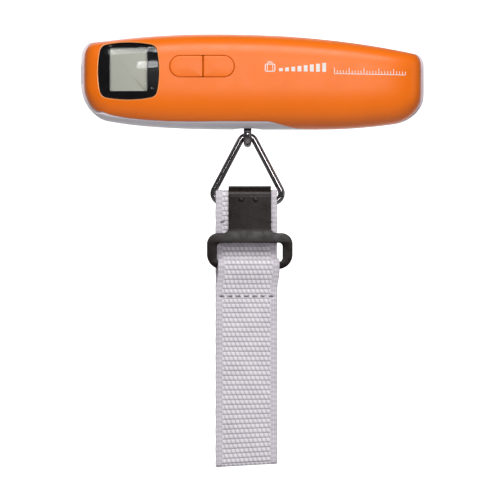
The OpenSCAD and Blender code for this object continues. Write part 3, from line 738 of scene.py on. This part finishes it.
def tube_wall(x, z, r0, r1, y0, y1, sides=48):
    """A round well open at the back, with a floor in front."""
    ang = np.linspace(0, 2 * math.pi, sides, endpoint=False)
    bore, floor, back, chamfer = 0.9, y0 - 0.02, y0 - 1.2, 0.15
    loops = [(bore, floor), (r0, floor), (r0, y1 - chamfer), (r0 + chamfer, y1), (r1, y1), (r1, back),
             (bore, back)]
    rings = [np.stack([x + r * np.cos(ang), np.full(sides, y), z + r * np.sin(ang)], -1) for r, y in loops]
    return np.stack(rings, 1).reshape(-1, 3), grid_faces(sides, len(loops), wrap_cols=True, wrap_rows=True)


def ring_z(r0, r1, z0, z1, sides=72, edge=0.25):
    """A ring about the load eye's axis, with softened edges."""
    ang = np.linspace(0, 2 * math.pi, sides, endpoint=False)
    loops = [(r0 + edge, z0), (r1 - edge, z0), (r1, z0 + edge), (r1, z1), (r0, z1), (r0, z0 + edge)]
    rings = [np.stack([eye_x + r * np.cos(ang), core_y + r * np.sin(ang), np.full(sides, z)], -1)
             for r, z in loops]
    return np.stack(rings, 1).reshape(-1, 3), grid_faces(sides, len(loops), wrap_cols=True, wrap_rows=True)


# ------------------------ display
RING_POINTS = 200       # points round each ring of the border and the well
MASK_FRONT, MASK_BACK = LENS_T + 0.15, LENS_T + 0.35
window_outline = round_box(LENS_X, WINDOW_Z, WINDOW_W, WINDOW_H, 0.6, 9)


def band(levels):
    """A closed band through rings of points that end where they start."""
    return np.concatenate(levels), grid_faces(len(levels), RING_POINTS, wrap_cols=True, wrap_rows=True)


def build_lens():
    piece("lens_glass", patch(grow(lens_outline, -0.05), 0.0, LENS_T, edge=0.45, crown=0.12, rings=18),
          "housing", "clear_lens", ["display_lens"])


def build_lens_border():
    """The black print behind the lens, open over the display."""
    outer = resample(grow(lens_outline, -0.03), RING_POINTS, closed=True)
    inner = resample(window_outline, RING_POINTS, closed=True)
    outer = np.roll(outer, -int(np.argmin(np.hypot(*(outer - inner[0]).T))), 0)
    levels = [on_skin(mix(outer, inner, t), MASK_FRONT) for t in np.linspace(0, 1, 9)]
    levels += [on_skin(mix(outer, inner, t), MASK_BACK) for t in np.linspace(1, 0, 9)]
    piece("lens_border", band(levels), "housing", "black_print", ["lens_mask"])


def build_display_well():
    """The bevelled well between the border and the display, as rings grown from the window."""
    floor = low("lcd_panel")[1] - 0.03
    levels = []
    rim = LENS_T + 0.36
    for by, depth in ((0.02, rim), (-0.22, LENS_T + 0.6), (-0.30, None), (0.9, None), (0.9, rim)):
        q = resample(grow(window_outline, by), RING_POINTS, closed=True)
        y = np.full(RING_POINTS, floor) if depth is None else face_y(q[:, 0], q[:, 1]) + depth
        levels.append(np.stack([q[:, 0], y, q[:, 1]], -1))
    piece("display_well", band(levels), "housing", "well_grey", angle=20)


def build_beads():
    # the lens bead takes the lighter orange as a painted highlight; the pill bead keeps the body's orange
    lens_bead = bead(grow(lens_outline, 0.10), 0.20, 0.12)
    piece("lens_bead", lens_bead, "housing", "bead_orange")
    pill_bead = bead(grow(pill_outline, 0.04), 0.16, 0.16)
    piece("pill_bead", pill_bead, "housing", "orange_plastic")


# ------------------------ buttons
def half_pill(left):
    """One button's outline: a round end, and a straight end at the split."""
    z0, z1 = PILL_Z - PILL_H / 2 + GAP, PILL_Z + PILL_H / 2 - GAP
    r, s = (z1 - z0) / 2 - 0.01, 0.5
    if left:
        x0, x1, radii = PILL_X - PILL_W / 2 + GAP, SPLIT_X - GAP / 2, [r, s, s, r]
    else:
        x0, x1, radii = SPLIT_X + GAP / 2, PILL_X + PILL_W / 2 - GAP, [s, r, r, s]
    outline = rounded([(x0, z0), (x1, z0), (x1, z1), (x0, z1)], radii, 16)
    return resample(outline, 160, closed=True)


def build_button(name, left, body, node):
    x = (low(node)[0] + high(node)[0]) / 2
    cap = patch(half_pill(left), 0.0, 1.5, edge=0.42, crown=0.16, rings=16)
    stem = prism(round_box(x, PILL_Z, 8, 5.6, 1), -12.7, -10.9)
    flange = prism(round_box(x, PILL_Z, 12.6, 9.9, 2), -11, high("power_button")[1])
    piece(name, [cap, stem, flange], body, "orange_plastic", [node])


# ------------------------ printed marks
LINE_W, FINE_W = 0.42, 0.26


def arrow(cx, cz, length, size, way):
    tip = cx + way * length / 2
    head = [(tip - way * size, cz + size), (tip + way * 0.1, cz), (tip - way * size, cz - size)]
    return [ribbon([(cx - way * length / 2, cz), (tip, cz)], LINE_W), ribbon(head, LINE_W)]


def build_button_marks():
    """A power sign, a line and a zero on the left half, and two arrows on the right one."""
    power = [ribbon(arc((-29.6, 6.3), 1.75, 118, 422), 0.48), ribbon([(-29.6, 6.4), (-29.6, 8.7)], 0.48)]
    line = ribbon([(-27.3, 9.3), (-27.3, 2.9)], LINE_W)
    zero = ribbon(round_box(-24.9, 6.1, 2.3, 3.4, 1.1), LINE_W, closed=True)
    piece("power_marks", [*power, line, zero], "button_power", "print_white")
    arrows = arrow(-14.0, 7.6, 4.2, 0.9, 1) + arrow(-14.0, 4.7, 4.2, 0.9, -1)
    piece("unit_marks", arrows, "button_unit", "print_white")


def suitcase():
    return [ribbon(round_box(7.0, 5.4, 3.9, 2.9, 0.5), 0.36, closed=True),
            ribbon([(6.2, 6.9), (6.2, 7.7), (7.8, 7.7), (7.8, 6.9)], 0.34),
            *[ribbon([(x, 6.8), (x, 4.1)], FINE_W) for x in (5.9, 8.1)]]


def rising_bars():
    count, first_x, pitch, drop, rise = 8, 11.4, 2.5, 0.04, 0.34
    bars = []
    for k in range(count):
        x = first_x + pitch * k
        bars.append(ribbon([(x, 4.0 - drop * k), (x, 5.2 - drop * k + rise * k)], 1.5))
    return bars


def fine_scale():
    count, first_x, pitch, slope = 25, 33.0, 1.2, 0.018
    ticks = []
    for k in range(count):
        x = first_x + pitch * k
        z = 3.2 - slope * (x - first_x)
        ticks.append(ribbon([(x, z), (x, z + (2.2 if k % 5 == 0 else 1.2))], FINE_W))
    return [*ticks, ribbon([(first_x, 3.0), (61.8, 2.5)], FINE_W)]


def build_grip_marks():
    piece("grip_marks", suitcase() + rising_bars() + fine_scale(), "housing", "print_white")


# ------------------------ back
def raised(points, width, lift):
    return ribbon(points, width, surface=back_y, lift=lift, into=-1.0)


def build_door():
    """The battery door, with its knuckle, finger ribs and an arrow that shows how it opens."""
    lo, hi = low("battery_door"), high("battery_door")
    mid = (lo + hi) / 2
    _, hinge_y, hinge_z = joint_at["door_open"]
    outline = round_box(mid[0], (hinge_z + hi[2]) / 2, hi[0] - lo[0], hi[2] - hinge_z, 1.2)
    outline = resample(outline, 160, closed=True)
    door = patch(outline, 0.1, 1.6, surface=back_y, edge=0.35, rings=16, into=-1.0)
    knuckle = tube([[x, hinge_y, hinge_z] for x in (lo[0], mid[0], hi[0])], 0.8, 24)
    ribs = [raised([(mid[0] - 4.5, z), (mid[0] + 4.5, z)], 0.5, 0.18)
            for z in (hi[2] - 2.0 - 1.1 * k for k in range(5))]
    tip = mid[2] - 3.6
    way = [raised([(mid[0] - 2.2, tip + 2.2), (mid[0], tip), (mid[0] + 2.2, tip + 2.2)], 0.6, 0.12),
           raised([(mid[0], tip + 0.2), (mid[0], tip + 4.6)], 0.6, 0.12)]
    piece("door_skin", [door, knuckle, *ribs, *way], "door", "white_plastic",
          ["battery_door"])


def build_rear_land():
    """The flat land on the back, with a rounded rim and a shallow groove inside it."""
    land, edge, groove = high("rear_cover")[1], 0.35, 0.25
    top = np.asarray(round_box(16, 0, 70, 17, 5, 16))
    n = outward(top)
    levels = [(top + n * 0.5, land - 1.6), (top, land - edge)]
    for turn in np.linspace(0, math.pi / 2, 6)[1:]:
        levels.append((top - n * edge * (1 - math.cos(turn)), land - edge * (1 - math.sin(turn))))
    inner = top - n * 1.6
    levels += [(inner, land), (inner - n * 0.2, land - groove), (inner - n * 0.5, land - groove),
               (inner - n * 0.7, land)]
    verts = np.concatenate([np.stack([q[:, 0], np.full(len(q), y), q[:, 1]], -1) for q, y in levels])
    m = len(top)
    faces = grid_faces(len(levels), m, wrap_cols=True)
    faces += [list(range((len(levels) - 1) * m, len(levels) * m)), list(range(m))[::-1]]
    piece("rear_land", (verts, faces), "housing", "white_plastic")


# ------------------------ eye, ring and hook
def build_eye():
    """A round-wire eye under a collared shank."""
    hole_z, ring_r, wire_r, sides = -21.35, 3.7, 1.6, 96
    ang = np.linspace(0, 2 * math.pi, sides, endpoint=False)
    loop = np.stack([np.full(sides, eye_x), core_y + ring_r * np.cos(ang), hole_z + ring_r * np.sin(ang)], -1)
    base = 3.4
    top = high("load_eye")[2] - hole_z - base
    profile = [(0, -base), (1.6, -base), (1.62, -1.6), (1.62, 0.9), (1.75, 1.05), (2.15, 1.1), (2.3, 1.25),
               (2.3, 1.9), (2.15, 2.05), (1.95, 2.15), (1.95, top - 0.5), (1.6, top), (0, top)]
    shank = lathe(profile, (eye_x, core_y, hole_z + base), 48)
    piece("eye_bolt", [tube(loop, wire_r, 28, closed=True), shank], "eye", "polished_steel",
          ["load_eye"])


def ring_path():
    """The triangle's centreline, from the record's box of its node."""
    lo, hi = low("triangle_ring"), high("triangle_ring")
    wire_r = (hi[1] - lo[1]) / 2
    apex_r, foot_r, foot_x = 3.3, 3.5, 10.3
    top, bar = hi[2] - wire_r, lo[2] + wire_r
    apex, foot = np.array([0, top - apex_r]), np.array([foot_x, bar + foot_r])
    span = foot - apex
    leg = math.acos((apex_r - foot_r) / np.linalg.norm(span)) - math.atan2(-span[1], span[0])
    turn = np.linspace(-math.pi / 2, leg, 30)
    right = np.stack([foot[0] + foot_r * np.cos(turn), foot[1] + foot_r * np.sin(turn)], -1)
    over = np.linspace(leg, math.pi - leg, 40)
    cap = np.stack([apex_r * np.cos(over), apex[1] + apex_r * np.sin(over)], -1)
    left = right[::-1] * [-1, 1]
    flat = resample(np.concatenate([right, cap, left]), 320, closed=True)
    return np.stack([eye_x + flat[:, 0], np.full(len(flat), core_y), flat[:, 1]], -1), wire_r


def build_ring():
    path, wire_r = ring_path()
    weld_x, weld_swell = eye_x + 4.0, 0.05
    gap = np.hypot(path[:, 0] - weld_x, path[:, 2] - path[:, 2].min())
    weld = weld_swell * np.exp(-(gap / 0.5) ** 2)
    wire = tube(path, wire_r - 0.02 + weld, 28, closed=True)
    piece("ring_wire", wire, "ring", "polished_steel", ["triangle_ring"])


PLATE_SHIFT = 0.9       # the plate hangs a little to one side of the ring
PLATE_T, PLATE_BEVEL = 1.2, 0.28
NECK_W, SHOULDER_Z, SLOT_TOP = 17.3, -61.4, -65.4
LIP_R = 3.85
LIP_REACH = LIP_R * math.radians(140)
lip_z = high("hook_plate")[2] - LIP_R - PLATE_T / 2
plate_y = core_y - LIP_R


def plate_outlines():
    """The plate laid flat: its outer outline, and its slot."""
    lo, hi = low("hook_plate"), high("hook_plate")
    w, foot, side_rail, foot_rail = hi[0] - lo[0], lo[2], 4.1, 3
    neck, top = NECK_W / 2, lip_z + LIP_REACH
    outer = rounded([(-w / 2, foot), (w / 2, foot), (w / 2, SHOULDER_Z), (neck, SHOULDER_Z), (neck, top),
                     (-neck, top), (-neck, SHOULDER_Z), (-w / 2, SHOULDER_Z)],
                    [6, 6, 4.5, 2.2, 1.0, 1.0, 2.2, 4.5], 14)
    hole = round_box(0, (SLOT_TOP + foot + foot_rail) / 2, w - 2 * side_rail, SLOT_TOP - foot - foot_rail,
                     1.6, 12)
    return outer, hole


def flat_plate():
    """The plate as a flat mesh with bevelled edges."""
    outer, hole = plate_outlines()
    curve = bpy.data.curves.new("plate", "CURVE")
    curve.dimensions = "2D"
    curve.fill_mode = "BOTH"
    for pts in (outer, hole[::-1]):
        line = curve.splines.new("POLY")
        line.points.add(len(pts) - 1)
        for q, p in zip(line.points, pts):
            q.co = (p[0], p[1], 0, 1)
        line.use_cyclic_u = True
    curve.extrude = PLATE_T / 2 - PLATE_BEVEL
    curve.bevel_depth = PLATE_BEVEL
    curve.bevel_resolution = 4
    curve.offset = -PLATE_BEVEL
    temp = bpy.data.objects.new("plate", curve)
    bpy.context.scene.collection.objects.link(temp)
    dg = bpy.context.evaluated_depsgraph_get()
    mesh = bpy.data.meshes.new_from_object(temp.evaluated_get(dg))
    bpy.data.objects.remove(temp)
    return mesh


def roll_lip(mesh):
    """Stand the flat plate up, and wrap what is above lip_z round the lip's radius."""
    bm = bmesh.new()
    bm.from_mesh(mesh)
    bmesh.ops.remove_doubles(bm, verts=bm.verts, dist=0.002)
    for z in np.linspace(lip_z - 0.4, lip_z + LIP_REACH - 0.2, 46):
        bmesh.ops.bisect_plane(bm, geom=bm.verts[:] + bm.edges[:] + bm.faces[:], plane_co=(0, z, 0),
                               plane_no=(0, 1, 0))
    for v in bm.verts:
        x, z, out = v.co
        past = z - lip_z
        if past > 0:
            phi = past / LIP_R
            y, z = core_y - (LIP_R + out) * math.cos(phi), lip_z + (LIP_R + out) * math.sin(phi)
        else:
            y = plate_y - out
        v.co = (x + eye_x + PLATE_SHIFT, y, z)
    bmesh.ops.recalc_face_normals(bm, faces=bm.faces)
    for v in bm.verts:
        v.co /= MM
    bm.to_mesh(mesh)
    bm.free()
    mesh.shade_smooth()
    mesh.set_sharp_from_angle(angle=math.radians(28))


def build_plate():
    mesh = flat_plate()
    roll_lip(mesh)
    obj = bpy.data.objects.new("plate_hook", mesh)
    bpy.context.scene.collection.objects.link(obj)
    set_material(obj, mats["black_nickel"])
    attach(obj, "hook")
    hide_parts("hook_plate")


def dimple(cx, cz):
    """A shallow dome on the plate's face."""
    radius, height, sides = 1.05, 0.16, 28
    face = plate_y - PLATE_T / 2
    t = np.linspace(0, math.pi / 2, 6)
    ang = np.linspace(0, 2 * math.pi, sides, endpoint=False)
    rings = [np.stack([cx + r * np.cos(ang), np.full(sides, face - h + 0.02), cz + r * np.sin(ang)], -1)
             for r, h in zip(radius * np.sin(t[1:]), height * np.cos(t[1:]))]
    verts = np.concatenate([*rings, [[cx, face - 0.14, cz]]])
    last = len(rings) * sides
    faces = grid_faces(len(rings), sides, wrap_cols=True) + [[j, (j + 1) % sides, last] for j in range(sides)]
    return verts, faces + [list(range(last - sides, last))]


def build_dimples():
    domes = [dimple(eye_x + PLATE_SHIFT + dx, lip_z - 1.2) for dx in (-3.4, 2.3)]
    piece("plate_dimples", domes, "hook", "black_nickel")


# ------------------------ webbing
WEB_T, WEB_W = 1.3, 25.0
SELVAGE, COLUMNS, ROW = 2.7, 11, 1.95
CELL_STEPS, ROW_STEPS = 6, 6
FOLD = joint_at["strap_open"]
PLY = WEB_T / 2 + 0.25


def soften(path, times=4):
    p = np.asarray(path, float)
    for _ in range(times):
        q = np.empty((2 * len(p), 2))
        q[0], q[-1] = p[0], p[-1]
        q[1:-1:2], q[2::2] = mix(p[:-1], p[1:], 0.25), mix(p[:-1], p[1:], 0.75)
        p = q
    return p


def strap_lean(x, z):
    """The fold hangs a little askew."""
    down = smooth((-118 - z) / 36)
    return down * 0.055 * (x - eye_x)


def web_mesh(path, rows, shift, stitch):
    """A woven strip along a (y, z) path: cells of slanted floats in rows, between two plain selvages."""
    steps = rows * ROW_STEPS
    p = resample(path, steps + 1)
    d = np.gradient(p, axis=0)
    d /= np.linalg.norm(d, axis=1)[:, None]
    across = np.stack([-d[:, 1], d[:, 0]], -1)
    edge = WEB_W / 2 - SELVAGE
    lap = WEB_W / 2 - (WEB_T / 2) * (1 - np.sin(np.linspace(0, math.pi / 2, 6)))
    side = np.concatenate([lap[::-1][:-1], np.linspace(lap[0], edge, 8)])
    inner = np.linspace(edge, -edge, COLUMNS * CELL_STEPS + 1)[1:-1]
    xs = np.concatenate([side, inner, -side[::-1]])
    v = np.linspace(0, rows, steps + 1)
    X, V = np.meshgrid(xs, v)
    cell = 2 * edge / COLUMNS
    ry = V - np.floor(V + 1e-9) - 0.5
    layers = []
    for face in (1, -1):
        slant = 0.32 * ry * face
        cx = (X + edge) / cell + slant + 0.5 * (np.floor(V + 1e-9) % 2)
        cx = cx - np.floor(cx) - 0.5
        body = np.clip(1 - (2 * np.abs(cx)) ** 2.6, 0, 1) ** 0.5
        body = body * np.clip(1 - (2 * np.abs(ry)) ** 3, 0, 1) ** 0.6
        gate = smooth((edge - np.abs(X)) / 0.25 + 0.5)
        cord = 0.5 + 0.5 * np.cos(2 * math.pi * (np.abs(X) - edge) / (SELVAGE / 2.5))
        plain_weave = 0.42 + 0.22 * cord + 0.22 * np.cos(2 * math.pi * V) * (0.3 + 0.7 * cord)
        layers.append(gate * body + (1 - gate) * plain_weave)
    t = np.clip((WEB_W / 2 - np.abs(X)) / (WEB_T / 2), 0, 1)
    taper = np.sqrt(np.clip(1 - (1 - t) ** 2, 0, 1))
    verts, tone = [], []
    for face, layer in zip((1, -1), layers):
        relief = (WEB_T / 2 - 0.17 + 0.30 * (layer - 0.5)) * taper
        if stitch is not None:
            off = p[:, 1][:, None] - stitch
            relief = relief - 0.22 * np.exp(-(off / 0.7) ** 2) * taper * (np.abs(X) < 11)
        y = p[:, 0][:, None] + across[:, 0][:, None] * relief * face
        z = p[:, 1][:, None] + across[:, 1][:, None] * relief * face
        where = shift(p[:, 1])[:, None] + X
        wobble = 0.06 * np.sin(V * 1.7 + 0.4 * np.sign(X)) * (np.abs(X) > edge)
        verts.append(np.stack([where + wobble, y, z + strap_lean(where, z)], -1))
        # painted shade and highlight: each point keeps its weave height as a colour value, low in the valleys
        # and high on the tops
        tone.append(0.82 * layer)
    m = len(xs)
    loop = np.concatenate([verts[0], verts[1][:, ::-1]], 1)
    tones = np.concatenate([tone[0], tone[1][:, ::-1]], 1)
    faces = grid_faces(steps + 1, 2 * m, wrap_cols=True)
    faces += [list(range(2 * m))[::-1], list(range(steps * 2 * m, (steps + 1) * 2 * m))]
    return loop.reshape(-1, 3), faces, tones.ravel()


def web_piece(name, path, rows, shift, stitch=None):
    """A run of webbing. shift gives its middle at each height, and stitch the height of a sewn row."""
    verts, faces, tones = web_mesh(path, rows, shift, stitch)
    obj = make(name, verts, faces, angle=0)
    fix_normals(obj)
    attribute = obj.data.attributes.new("weave", "FLOAT", "POINT")
    attribute.data.foreach_set("value", tones.astype(np.float32))
    set_material(obj, mats["webbing"])
    return obj


def path_length(path):
    return float(np.linalg.norm(np.diff(path, axis=0), axis=1).sum())


def threads(name, spots, body, replaces, with_y, length, radius=0.26):
    """Stitches: each a short thread that dips into the cloth at both ends."""
    parts = []
    for x, z in spots:
        t = np.linspace(-1, 1, 13)
        y = with_y(z) - 0.10 * (1 - t ** 4) + 0.42 * np.abs(t) ** 6
        line = np.stack([x + t * length / 2, y, z + 0.05 * np.sin(5 * t + x)], -1)
        parts.append(tube(line, radius * (1 - 0.25 * t ** 2), 10))
    return piece(name, parts, body, "thread", replaces)


LOOP_R, BAR_R = 2.3, 2.4
STITCH_Z, TACK_Z = -87.0, (-62.75, -56.75)
BACK_X, FRONT_X, SLOT_X = eye_x - 0.5, eye_x - 0.45, eye_x + 0.5


def back_route():
    """(y, z) of the back run, from its sewn tail over the ring's bar and down to the fold."""
    ring_bar = joint_at["strap_swing"][2]
    tail = [(core_y - 0.9, -66.0), (core_y - 1.7, -59.0), (core_y - LOOP_R, ring_bar - 2.4)]
    down = [(core_y + LOOP_R, -60.0), (core_y + 1.8, -80.0), (FOLD[1] + PLY + 0.6, -125.0),
            (FOLD[1] + PLY, FOLD[2])]
    return soften(np.concatenate([tail, arc((core_y, ring_bar + 2.15), LOOP_R, 180, 0), down]))


def front_route():
    """(y, z) of the front run, from the fold up and round the plate's lower bar to its sewn tail."""
    slot_bar = joint_at["hook_tip"]
    up = [(FOLD[1] - PLY, FOLD[2]), (FOLD[1] - PLY - 0.9, -125.0), (-2.5, -92.7), (-2.5, STITCH_Z),
          (-2.6, -82.6), (-3.85, -78.0)]
    tail = [(0.15, -78.0), (-1.0, -82.6), (-1.1, STITCH_Z), (-1.1, -90.7)]
    return soften(np.concatenate([up, arc((slot_bar[1], slot_bar[2]), BAR_R, 180, 0), tail]))


def back_shift(z):
    return np.full(np.shape(z), BACK_X)


def front_shift(z):
    return mix(mix(BACK_X, FRONT_X, smooth((z + 150) / 20)), SLOT_X, smooth((z + 84) / 7))


def build_strap():
    back_path, front_path = back_route(), front_route()
    fold_path = arc((FOLD[1], FOLD[2]), PLY, 0, -180, 60)
    back = web_piece("strap_upper", back_path, round(path_length(back_path) / ROW), back_shift)
    fold = web_piece("strap_fold", fold_path, 2, back_shift)
    front = web_piece("strap_lower", front_path, round(path_length(front_path) / ROW), front_shift, STITCH_Z)
    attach(back, "strap")
    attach(front, "front_run")
    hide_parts("strap_back")
    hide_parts("strap_front")
    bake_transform(fold)
    row = threads("front_stitches", [(FRONT_X + 3.3 * k, STITCH_Z) for k in range(-3, 4)], "front_run",
                  ["stitch_row"], lambda z: -3.0, 2.0)
    tack = threads("loop_stitches", [(BACK_X + 3.2 * k, z) for k in range(-3, 4) for z in TACK_Z], "strap",
                   ["bar_tack"], lambda z: core_y - LOOP_R - 0.35 + (0.9 if z < -60 else 0.1), 1.8)


# ------------------------ stage, light, camera
def surface_grid(name, points, rows, cols, mat):
    mesh = bpy.data.meshes.new(name)
    mesh.from_pydata(points, [], grid_faces(rows, cols))
    mesh.shade_smooth()
    obj = bpy.data.objects.new(name, mesh)
    bpy.context.scene.collection.objects.link(obj)
    mesh.materials.append(mat)
    return obj


def build_stage():
    mat, nodes, links, bsdf, at = new_material("stage_paper")
    tones = [(0.3, (0.90, 0.90, 0.90)), (0.7, (0.93, 0.93, 0.93))]
    links.new(ramp(nodes, links, noise(nodes, links, at, 6.0), tones), bsdf.inputs["Base Color"])
    bsdf.inputs["Roughness"].default_value = 0.9
    bsdf.inputs["Emission Color"].default_value = (1, 1, 1, 1)
    # the paper glows only behind the object, so that metal keeps dark edges
    reach = nodes.new("ShaderNodeVectorMath")
    reach.operation = "DISTANCE"
    links.new(at, reach.inputs[0])
    reach.inputs[1].default_value = (0, 1.3, -0.06)
    glow = spread(nodes, links, reach.outputs["Value"], 1.0, 0.03, 0.34, 0.8)
    links.new(glow, bsdf.inputs["Emission Strength"])
    floor_z, wall_y, bend = -0.95, 1.35, 0.5
    line = [(-2.6, floor_z), (wall_y - bend, floor_z)]
    line += [(wall_y - bend + bend * math.sin(a), floor_z + bend * (1 - math.cos(a)))
             for a in np.linspace(0.1, math.pi / 2, 14)]
    line += [(wall_y, 2.4)]
    points = [(x, y, z) for y, z in line for x in np.linspace(-3, 3, 9)]
    surface_grid("backdrop", points, len(line), 9, mat)
    world = bpy.context.scene.world or bpy.data.worlds.new("world")
    bpy.context.scene.world = world
    world.use_nodes = True
    back = world.node_tree.nodes["Background"]
    back.inputs["Color"].default_value = (0.96, 0.98, 1.0, 1)
    back.inputs["Strength"].default_value = 0.10


def soft_box(name, place, target, width, height, power):
    data = bpy.data.lights.new(name, "AREA")
    data.shape = "RECTANGLE"
    data.size, data.size_y = width, height
    data.energy = power
    obj = bpy.data.objects.new(name, data)
    obj.location = place
    obj.rotation_mode = "QUATERNION"
    obj.rotation_quaternion = (Vector(target) - Vector(place)).to_track_quat("-Z", "Y")
    bpy.context.scene.collection.objects.link(obj)


def build_lights():
    soft_box("key", (-0.05, -0.80, 0.60), (0, 0, -0.04), 0.9, 0.4, 8.4)
    soft_box("front", (0.10, -1.2, 0.12), (0, 0, -0.05), 0.6, 0.10, 3.0)
    soft_box("side", (0.85, -0.3, 0.1), (0, 0, -0.05), 0.3, 0.7, 0.5)
    soft_box("rear", (-0.3, 0.9, 0.7), (0, 0, -0.05), 0.8, 0.6, 2.0)


def build_camera():
    distance, aim_x, aim_z, view_w = 2.5, -0.0011, -0.0683, 0.20325
    data = bpy.data.cameras.new("camera")
    data.sensor_width = 36
    data.lens = 36 * distance / view_w
    data.clip_end = 20
    cam = bpy.data.objects.new("camera", data)
    cam.location = (aim_x, -distance, aim_z)
    cam.rotation_euler = (math.pi / 2, 0, 0)
    bpy.context.scene.collection.objects.link(cam)
    bpy.context.scene.camera = cam
    bpy.context.scene.view_settings.view_transform = "Standard"


build_front_shell()
build_rear_shell()
build_rear_details()
build_lens()
build_lens_border()
build_display_well()
build_beads()
build_button("power_cap", True, "button_power", "power_button")
build_button("unit_cap", False, "button_unit", "unit_button")
build_button_marks()
build_grip_marks()
build_door()
build_rear_land()
build_eye()
build_ring()
build_plate()
build_dimples()
build_strap()
build_stage()
build_lights()
build_camera()
